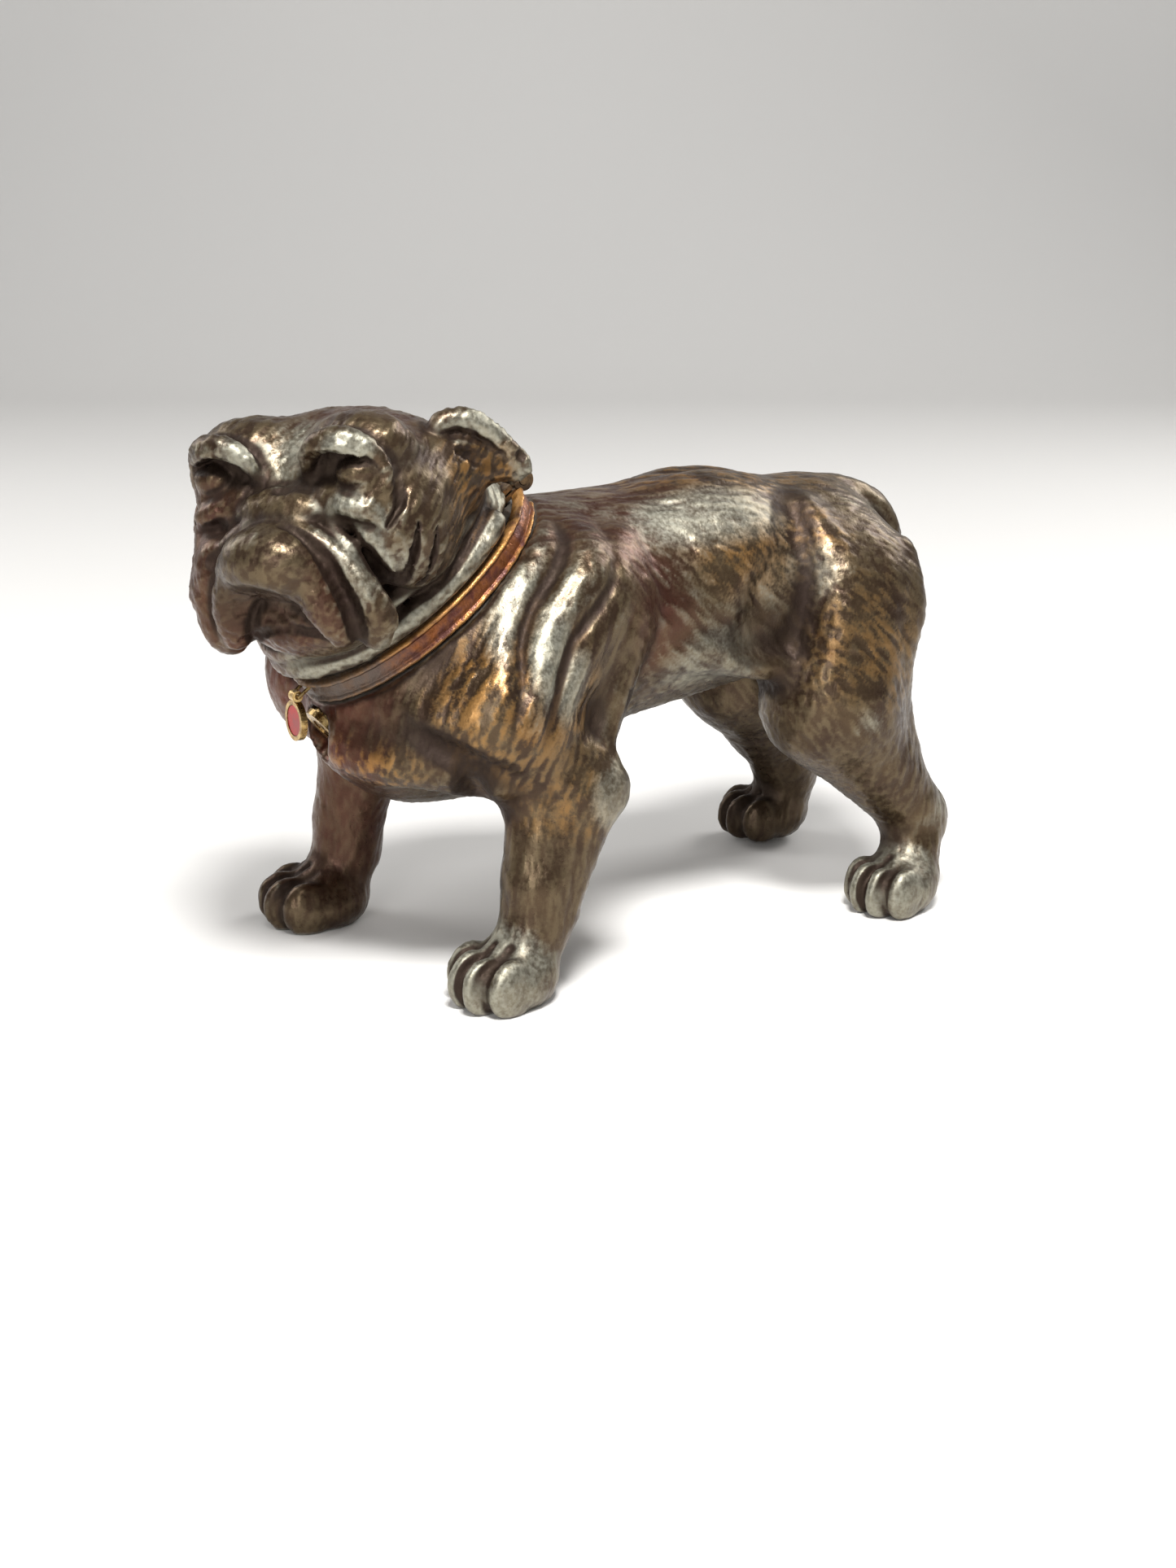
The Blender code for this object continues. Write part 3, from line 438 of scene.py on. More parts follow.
BODY_GROOVES = (
    # hollow of the flank in front of the thigh
    (((9.5, 18.6, 55.6), (14.4, 15.6, 49.5), (16.4, 11.6, 44), (16.6, 9.4, 39)),
     (0.3, 1.2, 2.6, 1.8), 3.8),
    (((-7.5, 18.6, 55.6), (-12.4, 15.6, 49.5), (-14.6, 11.4, 43.4), (-15, 9.6, 39)),
     (0.3, 1.4, 2.6, 1.6), 3.4),
    # crease between chest and upper arm
    (((14, -40, 34.6), (18.6, -35.8, 31.4), (22.4, -30, 28), (23, -24.6, 25.2)),
     (0.3, 1.2, 1.2, 0.3), 1.8),
    # behind the elbow
    (((19, -11, 35), (20, -12, 30), (19.4, -12.4, 27.2)), (0.3, 0.9, 0.5), 1.4),
    # beside and under the tail
    (((6.8, 29, 49.6), (7.4, 33, 47.6), (6.6, 36.4, 44.6), (4.6, 38.6, 42.8)),
     (0.2, 0.5, 1.2, 0.8), 1.2),
    (((-2.6, 27, 52), (-2.4, 32, 50.6), (-1.6, 36, 47.6), (-1, 38.4, 44.6)),
     (0.3, 1, 1.2, 0.6), 1),
    # inner side of the near fore leg
    (((20.6, -34, 30), (18.8, -32.6, 26.4), (16.2, -29.6, 22), (14.6, -26.4, 17)),
     (0.5, 1.5, 1.5, 0.5), 2),
    # spine over the loin
    (((1, -2, 58.9), (1, 8, 59), (1, 18, 57.6)), (0.2, 0.7, 0.3), 1.6),
)


def form(f, place, row):
    if row[0] == "ball":
        f.add(ball(place, row[1], row[2]), row[3])
    else:
        f.add(limb(place, *row[1:5]), row[5])


def mirrored(points):
    return tuple((2.0 - x, y, z) for x, y, z in points)


def body_outside(f):
    for row in BODY_FORMS:
        form(f, DOG, row)
    for row in PAWS:
        paw(f, *row)
    for points, radii, melt in BODY_ROLLS:
        f.add(roll(DOG, points, radii), melt)
    for points, radii, melt in BODY_ROLLS[2:6]:
        f.add(roll(DOG, mirrored(points), radii), melt)
    for points, radii, melt in BODY_GROOVES:
        f.cut(roll(DOG, points, radii), melt)
    f.add(roll(DOG, TAIL, (3.2, 3, 2.9, 2.4, 1.9)), 1)
    f.cut(roll(DOG, ((-2.6, 35.4, 47.6), (0.4, 37, 45.4), (4.6, 36.6, 46)), (0.7, 0.9, 0.8)), 0.5)


NECK_HALF = (11.9, 16.3)
NECK_STUB = 3.7
SHELF_HALF = (15.6, 21)
COLLAR_IN = (12.2, 16.6)
COLLAR_OUT = (13.9, 18.2)
COLLAR_SPAN = (-3.4, -0.3)
WALL_NECK = (9.7, 14.1, 9)
HINGE_Y = 18.0
LOCK_Z = -7.0


COIN_HOLLOW_BOX = ((-15, -32, 26), (14, 40, 62))
BELOW_SOLES = ((-60, -80, -20), (60, 60, 0))
BELOW_FAR_HIND_SOLE = ((-26, 24, -20), (-9, 46, 0.9))
COIN_SLOT = ((-4.6, -5.5, 46), (-2.2, 17.5, 64))
KEEPER_ROOM = ((1.9, -13.75, -9.8), (5.5, -5, 2))
KNUCKLE_ROOM_R = 1.65
KNUCKLE_ROOM_HALF = 4.75
LEAF_SCREW_X = 2.6
LEAF_SCREW_Y = 13.9
LEAF_SCREW_R = 0.8
# the lock's bores: radius, start, end and how softly each edge melts
LOCK_BORES = ((2.7, 8, 30, 0), (4.4, 6, 14.5, 0), (3.35, 18.6, 30, 0.15))


def body_inside(f):
    """The hollow that holds the coins, open at the neck, with its two bosses."""
    hollow = Field(*COIN_HOLLOW_BOX, f.step)
    hollow.add(ball(DOG, (1, -22.5, 39.5), (13.2, 13, 12.4)), 0)
    hollow.add(ball(DOG, (1, -28.6, 37.6), (10.6, 11, 9.6)), 2)
    hollow.add(limb(DOG, (1, -16, 41.6), 12.6, (1, 10, 43.6), 11.2), 2)
    hollow.add(limb(DOG, (1, 8, 45.2), 9.4, (1, 25, 44.2), 8.4), 2)
    hollow.add(ball(NECK, (0, 0, 0), WALL_NECK), 1)
    hollow.cut(slab(NECK, (-5, 11.3, -5.2), (5, 20, 8)), 0.3)
    hollow.cut(slab(NECK, (-5.4, -24, -12.4), (5.4, -14.5, -3)), 0.3)
    return hollow


def merge_cut(f, other):
    """Carves another field, on the same step, out of this one."""
    start = np.round((other.low - f.low) / f.step).astype(int)
    a, b = np.maximum(start, 0), np.minimum(start + other.count, f.count)
    here = tuple(slice(a[i], b[i]) for i in range(3))
    there = tuple(slice(a[i] - start[i], b[i] - start[i]) for i in range(3))
    f.d[here] = np.maximum(f.d[here], -other.d[there])


def on_grid(f, low, high):
    """Limits moved onto another field's grid, so that the two line up."""
    low = f.low + np.floor((np.array(low, float) - f.low) / f.step) * f.step
    return low, high


def lock_place(x=0.0, z=LOCK_Z):
    """+Z runs out through the throat."""
    axes = NECK.axes @ np.array([[-1, 0, 0], [0, 0, -1], [0, -1, 0]], float).T
    return Place(NECK.point((x, 0, z)), axes)


def hinge_room(f, side):
    """Clearance round the knuckles and the bed of one leaf."""
    turn = Place(NECK.point((0, HINGE_Y, 0)), NECK.axes @ turned(0, 0, 90))
    f.cut(oval_drum(turn, KNUCKLE_ROOM_R, KNUCKLE_ROOM_R, -KNUCKLE_ROOM_HALF, KNUCKLE_ROOM_HALF), 0)
    low, high = sorted((0, side * 1.05))
    f.cut(slab(NECK, (-4.6, 11.6, low - 0.05), (4.6, HINGE_Y, high + 0.05)), 0)


def body_field():
    f = Field((-28, -41, -0.9), (28, 52, 62), BODY_STEP)
    body_outside(f)
    f.cut(slab(NECK, (-40, -40, 0), (40, 45, 60)), 0.25)
    f.cut(oval_drum(NECK, *SHELF_HALF, -NECK_STUB, 1.5, NECK_HALF), 0.3)
    low, high = on_grid(f, *COIN_HOLLOW_BOX)
    hollow = body_inside(f)
    aligned = Field(low, high, f.step)
    x, y, z = (aligned.low[i] + aligned.step * np.arange(aligned.count[i]) for i in range(3))
    grid = np.stack(np.meshgrid(x, y, z, indexing="ij"), -1).reshape(-1, 3)
    aligned.d = hollow.sample(grid).reshape(aligned.count).astype(np.float32)
    merge_cut(f, aligned)
    f.cut(slab(DOG, *BELOW_SOLES), 0)
    f.cut(slab(DOG, *BELOW_FAR_HIND_SOLE), 0)
    f.cut(slab(DOG, *COIN_SLOT, 0.2), 0.35)
    f.cut(slab(NECK, *KEEPER_ROOM), 0)
    hinge_room(f, -1)
    for x in LEFT_RIGHT:
        screw = Place(NECK.point((LEAF_SCREW_X * x, LEAF_SCREW_Y, 0)), NECK.axes)
        f.cut(oval_drum(screw, LEAF_SCREW_R, LEAF_SCREW_R, -4.6, 0.2), 0)
    lock = lock_place()
    for radius, start, end, melt in LOCK_BORES:
        f.cut(oval_drum(lock, radius, radius, start, end), melt)
    return f


# ---------------------------------------------------------------- head
def both(points, side):
    return tuple((x * side, y, z) for x, y, z in points)


def head_outside(f):
    a, c = f.add, f.cut
    a(ball(HEAD, (0, 0.8, 2.2), (15.6, 12.6, 9.4)), 0)
    a(ball(HEAD, (0, 4.6, -3.2), (12.4, 10.4, 10.2)), 4)
    a(ball(NECK, (-0.2, -0.5, 0.5), (12.4, 16.8, 11)), 4)
    for s in LEFT_RIGHT:
        a(ball(HEAD, (7.6 * s, -7.6, 7.2), (6.2, 4.8, 4)), 3)
        a(ball(HEAD, (11.6 * s, -4.8, -2), (4.7, 6.8, 7.2)), 3)
    a(ball(HEAD, (0, -8.5, -2.5), (10.4, 4.6, 9)), 3)
    a(ball(HEAD, (0, -8.4, -11.4), (8.4, 6.6, 5)), 2)
    furrow = ((0, 0, 14.6), (0, -6.5, 13.4), (0, -11.8, 10), (0, -13.6, 5.6), (0, -13.4, 2.6))
    c(roll(HEAD, furrow, (2, 3.4, 3.4, 2.6, 1.2)), 1.2)
    for s in LEFT_RIGHT:
        eye_region(f, s)
        jowl_region(f, s)
    muzzle(f)
    for s in LEFT_RIGHT:
        ear(f, s)
    # rolls of skin above the collar
    ring = [
        (13.0 * math.sin(q), -0.3 - 17.2 * math.cos(q), 1.9 + 0.4 * math.cos(2 * q))
        for q in RING_FRONT
    ]
    a(roll(NECK, ring, 1.6, 2), 0.7)
    upper = [(13.2 * math.sin(q), -1.2 - 16.2 * math.cos(q), 4.9) for q in RING_FRONT]
    a(roll(NECK, upper, (0.4, 1.3, 1.4, 1.3, 0.4), 2), 1.2)


RING_FRONT = np.linspace(-2.2, 2.2, 19)


def eye_region(f, s):
    """A hooked brow fold, the eye high under it and the bags and folds that sag below."""
    corner = ((4.6, -13.6, 5.2), (5.2, -13.6, 3.4), (7.2, -13, 2.2))
    f.cut(roll(HEAD, both(corner, s), (0.7, 1.3, 0.5)), 0.8)
    f.add(ball(HEAD, (9.6 * s, -9.8, 2.4), (3.7, 3.3, 4.4)), 0.5)
    f.add(ball(HEAD, (6.4 * s, -10.9, 0.8), (3.4, 3, 3.2)), 1)
    f.add(ball(HEAD, (9.6 * s, -11.6, 4.3), (2.5, 2.3, 1.9)), 0.3)
    brow = (
        (3.4, -12.2, 4.4), (4.4, -13.2, 6.6), (6.6, -13.9, 8), (9.4, -13.4, 8.1),
        (11.6, -12, 6.9), (12.8, -10.9, 4.8), (12.9, -10.8, 2.8),
    )
    f.add(roll(HEAD, both(brow, s), (0.6, 1.1, 1.4, 1.4, 1.15, 0.85, 0.4)), 0.6)
    crest = ((7, -14.9, 7.3), (9.2, -14.6, 7.4), (11.2, -13.2, 6.4))
    f.add(roll(HEAD, both(crest, s), (0.3, 0.8, 0.4)), 0.4)
    under = ((5.8, -13.9, 5.9), (7.6, -14.2, 6), (9.4, -13.9, 5.9), (10.8, -13.2, 5.4))
    f.cut(roll(HEAD, both(under, s), (0.3, 0.42, 0.42, 0.3)), 0.25)
    lid = ((8.6, -13.4, 4.8), (10.2, -13.1, 4.6), (11.2, -12.2, 3.6))
    f.add(roll(HEAD, both(lid, s), (0.3, 0.55, 0.3)), 0.3)
    bag = ((6.4, -12.6, 1.6), (8.6, -12.9, 0.9), (10.8, -12.3, 0.2), (12.2, -11.2, -1.4))
    f.add(roll(HEAD, both(bag, s), (0.6, 1.3, 1.4, 0.7)), 0.6)
    for out, size in ((0, 1), (2.2, 1.1), (4.2, 0.8)):
        fold = (
            (6.0 + out * 0.9, -13.4 + out * 0.45, -0.8 + out * 0.3),
            (8.6 + out * 0.9, -12.9 + out * 0.55, -3.6 + out * 0.4),
            (10.6 + out * 0.8, -11.8 + out * 0.7, -7.4 + out * 0.3),
        )
        f.add(roll(HEAD, both(fold, s), (0.3 * size, size, 0.2 * size)), 0.8)
    for back in (0, 2.4, 4.8):
        tuft = (
            (14.9 + back * 0.3, -8.6 + back, -1.6 - back * 0.3),
            (14.2 + back * 0.3, -8.8 + back, -4.6 - back * 0.3),
            (12.4 + back * 0.2, -8.4 + back, -7.8 - back * 0.2),
        )
        f.cut(roll(HEAD, both(tuft, s), (0.1, 0.4, 0.3)), 0.9)
    outer = ((13.4, -10.4, 5.6), (13.9, -9.8, 3), (13.6, -10, 0.4), (12.8, -11.2, -1.6))
    f.cut(roll(HEAD, both(outer, s), (0.3, 0.6, 0.5, 0.3)), 0.5)


def jowl_region(f, s):
    """The heavy roll from the nose bridge round the muzzle to the mouth corner."""
    jowl = (
        (1, -13.4, -0.8), (4.2, -14.6, -1.8), (7.4, -14.2, -4.4),
        (9.8, -12.8, -8.2), (10.8, -11.6, -11.6), (10, -11, -13.8),
    )
    f.add(roll(HEAD, both(jowl, s), (0.9, 1.3, 1.5, 1.9, 2.1, 1.7)), 0.8)
    flew = ((4.4, -15.8, -6), (6.4, -15.2, -10.2), (7.2, -13.8, -13.2))
    f.add(roll(HEAD, both(flew, s), (2.8, 2.3, 1.6)), 0.9)
    if s < 0:  # the far jowl hangs as one full lobe
        full = ((-8.6, -13.2, -4.6), (-10.6, -12, -8.6), (-9.8, -12, -13))
        f.add(roll(HEAD, full, (2.4, 3.1, 2.5)), 1.2)
        cheek = ((-11, -11, -3), (-11.8, -10.8, -7), (-11.4, -10.6, -12))
        f.add(roll(HEAD, cheek, (2.3, 2.8, 2.2)), 1.4)


def muzzle(f):
    f.add(ball(HEAD, (0.5, -15.2, -4.9), (6.9, 5.8, 4.7)), 1)
    f.add(ball(HEAD, (0.6, -18.3, -4.4), (4.6, 2.8, 3)), 1.4)
    f.cut(ball(HEAD, (-1, -19.4, -11), (4.9, 5.2, 3.6)), 1.2)
    for s in LEFT_RIGHT:
        low = -13.4 if s > 0 else -5.6
        groove = (
            (2.8, -17, -0.6), (5.6, -16.8, -2.6), (7.9, -15.9, -6.0 if s > 0 else -4.4),
            (9, -14.9, -9.8 if s > 0 else -5), (9.1, -13.9, low),
        )
        f.cut(roll(HEAD, both(groove, s), (0.3, 0.5, 0.7, 0.7, 0.5)), 0.9)
        # wrinkles over the nose bridge
        for lift, size in ((0.2, 0.5), (2.2, 0.6)):
            wrinkle = (
                (0.4, -14.7 + lift * 0.6, 0.0 + lift),
                (2.8, -15.0 + lift * 0.55, -0.6 + lift),
                (5, -14.9 + lift * 0.5, -2.0 + lift),
            )
            f.add(roll(HEAD, both(wrinkle, s), (size, size, 0.3)), 1.1)
    for s in LEFT_RIGHT:  # the creases stay shallow
        f.add(ball(HEAD, (8.0 * s, -11.2, -10.6), (2.4, 2.3, 3.6)), 1.2)
    f.add(ball(HEAD, (-9.4, -12.4, -5.4), (2.6, 2.8, 3.2)), 1.4)
    f.add(ball(HEAD, (0.3, -13.3, 0.6), (5, 2.5, 2.4)), 1.2)
    f.cut(roll(HEAD, ((-0.2, -21.3, -6.6), (-0.4, -19.8, -8.6), (-0.4, -17.4, -10.6)), (0.3, 0.5, 0.5)), 0.4)
    f.cut(ball(HEAD, (1, -14, 3.2), (1.3, 1, 0.9)), 0.5)
    f.add(ball(HEAD, (2.2, -13.6, 2), 0.7), 0.2)
    f.cut(roll(HEAD, ((-4.6, -13.4, -13.2), (0, -15.2, -12.6), (4.6, -13.4, -13.2)), (0.4, 0.7, 0.4)), 0.5)


def ear(f, s):
    """A small folded ear: a thick rim over a hollow flap, notched at its tip."""
    f.add(ball(HEAD, (13.4 * s, 3.4, 3.6), (3, 4.4, 4.4)), 1.6)
    back = ((12.6, 5.2, 7), (15, 7.8, 6.4), (17.2, 9.4, 4.2))
    f.add(roll(HEAD, both(back, s), (2, 1.7, 1.1)), 1.5)
    rim = (
        (11.6, 0.2, 6.4), (12.8, 1.2, 8.8), (14.8, 3.2, 9.2), (16.7, 5.6, 7.6),
        (18.3, 7.6, 5.2), (19.3, 8.8, 3.2), (17.6, 8.6, 1.8),
    )
    f.add(roll(HEAD, both(rim, s), (0.9, 1.35, 1.45, 1.3, 1.1, 0.9, 0.6)), 0.45)
    flap = ((13.8, 3.2, 6.4), (15.4, 5.4, 5.2), (16.8, 7.2, 3.4))
    f.add(roll(HEAD, both(flap, s), (1.3, 1.4, 0.9)), 0.7)
    lobe = ((14.6, 5.6, 3.6), (16.4, 7.4, 3.6), (18, 8.4, 3.2))
    f.add(roll(HEAD, both(lobe, s), (2.2, 1.9, 1)), 0.8)
    hollow = ((15, 0.9, 5.6), (16.4, 2.9, 4.9), (17.8, 5, 3.8))
    f.cut(roll(HEAD, both(hollow, s), (0.5, 1, 0.8)), 0.5)
    f.cut(ball(HEAD, (19.6 * s, 7.6, 4.6), (0.7, 0.6, 0.7)), 0.3)


def head_inside(f):
    f.add(ball(HEAD, (0, 1.6, 1), (12, 9.6, 6.8)), 0)
    f.add(ball(HEAD, (0, 4, -4), (9.6, 7.4, 7.6)), 2)
    f.add(ball(NECK, (0, 0, 0), WALL_NECK), 1)
    f.cut(slab(NECK, (-5, 11.3, -8), (5, 20, 5.2)), 0.3)
    f.cut(slab(NECK, (0.6, -20, -8), (7, -10.2, 6.6)), 0.3)


def head_field():
    f = Field((-26, -56, 37), (29, -3, 76), HEAD_STEP)
    head_outside(f)
    f.cut(slab(NECK, (-40, -50, -60), (40, 45, 0.3)), 0.25)
    f.cut(slab(NECK, (-40, 17.1, -2), (40, 45, 3.2)), 0.3)
    hollow = Field(f.low, f.low + (f.count - 1) * f.step - 1e-6, f.step)
    head_inside(hollow)
    f.d = np.maximum(f.d, -hollow.d[: f.count[0], : f.count[1], : f.count[2]])
    f.cut(slab(NECK, (1.8, -10.2, -2), (5.6, -5, 6.6)), 0)
    hinge_room(f, 1)
    for x in LEFT_RIGHT:
        screw = Place(NECK.point((2.6 * x, 13.9, 0)), NECK.axes)
        f.cut(oval_drum(screw, 0.8, 0.8, -0.2, 4.6), 0)
    for z in (1.9, 4.4):
        f.cut(oval_drum(lock_place(3.7, z), 0.8, 0.8, 9, 14.4), 0)
    return f


# ---------------------------------------------------------------- meshes
def mesh_object(name, verts, quads, masks=None):
    mesh = bpy.data.meshes.new(name)
    mesh.vertices.add(len(verts))
    mesh.vertices.foreach_set("co", (verts * MM).astype(np.float32).ravel())
    mesh.loops.add(len(quads) * 4)
    mesh.loops.foreach_set("vertex_index", quads.astype(np.int32).ravel())
    mesh.polygons.add(len(quads))
    mesh.polygons.foreach_set("loop_start", np.arange(0, 4 * len(quads), 4, dtype=np.int32))
    mesh.polygons.foreach_set("use_smooth", np.ones(len(quads), bool))
    mesh.update(calc_edges=True)
    for label, rgb in (masks or {}).items():
        layer = mesh.attributes.new(label, "FLOAT_COLOR", "POINT")
        rgba = np.ones((len(verts), 4), np.float32)
        rgba[:, :3] = rgb
        layer.data.foreach_set("color", rgba.ravel())
    ob = bpy.data.objects.new(name, mesh)
    bpy.context.scene.collection.objects.link(ob)
    return ob


def relief(field, points, normals):
    """How hollow and how raised the surface is at each point, 0 to 1."""
    hollow = np.zeros(len(points))
    raised = np.zeros(len(points))
    for reach in (0.7, 1.5, 2.4):
        hollow += np.clip(1 - field.sample(points + normals * reach) / reach, 0, 1) / 3
        raised += np.clip(1 + field.sample(points - normals * reach) / reach, 0, 1) / 3
    return np.clip(hollow * 1.6, 0, 1), np.clip(raised * 2.2, 0, 1)


def flat_part(points):
    """1 on faces that were machined flat, where no hair is chased."""
    n = NECK.local(points)
    under_strap = fade(3.9 - np.abs(n[:, 2] + 1.7), 0.0, 0.3)
    return under_strap * fade(-(n[:, 0] / 13.4) ** 2 - (n[:, 1] / 17.8) ** 2, -1.06, -1.0)


def coat(points, coarse, fine, weight=0.6):
    """Coarse hair strokes with finer ones over them."""
    return strokes(points, *coarse) + weight * strokes(points, *fine)


def body_hair(p):
    dog = p - SHIFT
    front = fade(-dog[:, 1], 6, 16)
    leg = fade(28 - dog[:, 2], 0, 8)
    back = fade(dog[:, 2], 50, 55)
    chest = coat(p, ((0.12, -0.42, -0.9), 0.55, 3.6, 11), ((0.1, -0.5, -0.86), 0.34, 2.2, 12))
    flank = coat(p, ((0.05, 0.72, -0.7), 0.55, 3.4, 13), ((0.0, 0.66, -0.75), 0.34, 2.0, 14))
    top = coat(p, ((0.25, 0.95, -0.1), 0.55, 3.4, 15), ((0.1, 1.0, 0.0), 0.34, 2.0, 16))
    shin = 0.7 * strokes(p, (0.1, -0.25, -1.0), 0.5, 2.4, 17)
    shin = shin + 0.5 * strokes(p, (0.2, 0.1, -1.0), 0.34, 1.6, 18)
    hair = chest * front + flank * (1 - front)
    hair = hair * (1 - back) + top * back
    return hair * (1 - leg) + shin * leg


def neck_folds(p):
    """Skin folds behind the collar, deepest on the sides of the neck."""
    n = NECK.local(p)
    side = fade(np.abs(n[:, 0]), 5, 11) * fade(24 - n[:, 1], 0, 12) * fade(n[:, 1], -11, 1)
    wave = 0.9 * np.sin(n[:, 1] * 0.24 + np.sign(n[:, 0]) * 0.6) + 0.4 * noise(p * 0.16, 5)
    back = 0.94 * n[:, 2] - 0.30 * n[:, 1] - wave  # the folds hang steeper than the collar
    total = np.zeros(len(p))
    for depth, wide, high in ((-6.6, 1.5, 0.6), (-11.4, 2.0, 0.75), (-16.2, 1.7, 0.35)):
        total += high * np.exp(-(((back - depth) / wide) ** 2))
    for depth, wide, high in ((-8.8, 0.8, 0.6), (-13.8, 0.9, 0.6)):
        total -= high * np.exp(-(((back - depth) / wide) ** 2))
    return total * side


def chased(field, verts, quads, hair, amount, keep_flat):
    """Moves each vertex in or out by the chased hair and gives the hollow and raised masks."""
    normals = normals_of(verts, quads)
    hollow, raised = relief(field, verts, normals)
    lump = noise(verts * 0.45, 3) * 0.10 + noise(verts * 1.1, 4) * 0.05
    calm = 1 - keep_flat
    moved = verts + normals * ((hair * amount + lump) * calm)[:, None]
    return moved, normals, hollow, raised


def clouds(points, rows):
    """Oval clouds added up, each with its strength, centre and radii."""
    return sum(strength * near(points, centre, radii) for strength, centre, radii in rows)


def colour_masks(relief_parts, paint_and_light_parts, shade_parts):
    """The colour layers that the patina reads, each value kept between 0 and 1. The paint layer holds
    painted red reflection and painted highlights as well as gilt and wear; the shade layer's first channel
    is painted shade.
    """
    layers = {"relief": relief_parts, "paint": paint_and_light_parts, "shade": shade_parts}
    return {name: np.clip(np.stack(parts, 1), 0, 1) for name, parts in layers.items()}


# where the body gets painted red reflection, gilt, rubbed-bare wear with painted highlights, and painted
# shade: strength, centre and radii
# painted reflection: red light reflected onto the far fore leg, the back and the near shoulder
BODY_RED_REFLECTION = (
    (0.6, (-16, -34, 18), (9, 14, 22)),
    (0.5, (6, -8, 54), (14, 18, 10)),
    (0.6, (16, -24, 28), (6, 9, 12)),
    (0.5, (16, -6, 44), (5, 8, 10)),
)
BODY_GOLD = (
    (1.0, (18, -27, 37), (8, 12, 13)),
    (0.8, (13, 12, 50), (8, 14, 8)),
    (0.5, (16, 24, 36), (9, 10, 12)),
    (0.5, (1, 10, 58), (12, 24, 6)),
    (0.7, (20, -20, 24), (6, 9, 7)),
    (0.9, (7, -39, 29), (11, 7, 4)),
)
BODY_WEAR_AND_HIGHLIGHT = (
    (0.55, (17, -25, 46), (7, 8, 9)),
    (1.1, (21, -22, 39), (4.5, 5, 7)),
    # painted highlight along the top of the flank
    (1.1, (10, 6, 54), (7, 13, 5)),
    (1.0, (7, 28, 50), (5, 7, 6)),
    (1.1, (3, 34, 50), (5, 7, 5)),
    (1.5, (22, -16, 24), (5, 5, 6)),
    (1.0, (15, 38, 12), (6, 6, 7)),
    (2.0, (20.5, -31, 4), (9, 10, 8)),
    (2.0, (17.5, 29, 4), (9, 10, 7)),
    (0.9, (13, 4, 37), (7, 9, 5)),
    # painted highlight on the thigh
    (0.9, (16, 19, 47), (5, 5, 6)),
    (0.9, (21.5, 23, 28), (3, 4, 4)),
    (0.4, (-12, -28, 38), (8, 9, 10)),
)
# painted shade: far legs, under the chest, the hollow before the thigh and inside the near legs
BODY_PAINTED_SHADE = (
    (0.9, (-15, 30, 14), (12, 18, 30)),
    (0.6, (-17, -30, 12), (10, 14, 22)),
    (0.5, (14, -24, 14), (6, 7, 9)),
    (0.5, (12, 30, 14), (5, 8, 10)),
    (1.0, (16.5, 10.5, 40), (5, 5.5, 7)),
    (0.7, (4, -38, 22), (14, 10, 5)),
    (0.7, (14, -32, 24), (5, 6, 6)),
)


def casting_body():
    f = body_field()
    verts, quads = skin_of(f)
    verts = relaxed(verts, quads, 1, 0.4)
    normals = normals_of(verts, quads)
    inside = hollow_side(verts, normals)
    flat = np.clip(flat_part(verts) + inside, 0, 1)
    verts = verts + normals * (neck_folds(verts) * (1 - flat))[:, None]
    sole = fade(0.5 - verts[:, 2], 0, 0.3)
    flat = np.clip(flat + sole, 0, 1)
    hair = body_hair(verts)
    verts, normals, hollow, raised = chased(f, verts, quads, hair, 0.085, flat)
    verts[:, 2] = np.maximum(verts[:, 2], 0.0)
    d = verts - SHIFT
    # red: painted reflection of red light on the chest, legs and shoulders; pale: real wear with painted
    # highlights; the dark clouds and the chamber's inside: painted shade
    red = near(d, (-3, -42, 36), (17, 16, 20)) ** 0.6 + clouds(d, BODY_RED_REFLECTION)
    gold, pale_wear_and_highlight, painted_shade = clouds(d, BODY_GOLD), clouds(d, BODY_WEAR_AND_HIGHLIGHT), clouds(d, BODY_PAINTED_SHADE) + inside
    masks = colour_masks((hollow, raised, hair * 0.5 + 0.5), (red, gold, pale_wear_and_highlight), (painted_shade, flat, inside))
    return mesh_object("bulldog_body", verts, quads, masks)


def hollow_side(verts, normals):
    """1 on the inside of the coin chamber."""
    d = verts - SHIFT
    middle = np.array([1.0, 0.0, 43.0])
    to_middle = middle - d
    to_middle[:, 1] = np.clip(-d[:, 1], -20, 20) * 0.2
    facing = (normals * to_middle).sum(1) / (np.linalg.norm(to_middle, axis=1) + 1e-6)
    within = near(d, (1, -1, 43), (16, 42, 15.5))
    return fade(facing, 0.1, 0.4) * fade(within, 0.0, 0.12)


def head_hair(p):
    h = HEAD.local(p)
    cheek = fade(np.abs(h[:, 0]), 9, 14)
    for_cheek = coat(h, ((0.1, -0.8, -0.6), 0.5, 3.4, 21), ((0.1, -0.75, -0.65), 0.32, 2.0, 22))
    for_top = coat(h, ((0.15, 0.9, 0.4), 0.5, 3.0, 23), ((-0.1, 0.9, 0.3), 0.32, 2.0, 24))
    return 1.5 * for_cheek * cheek + for_top * (1 - cheek)


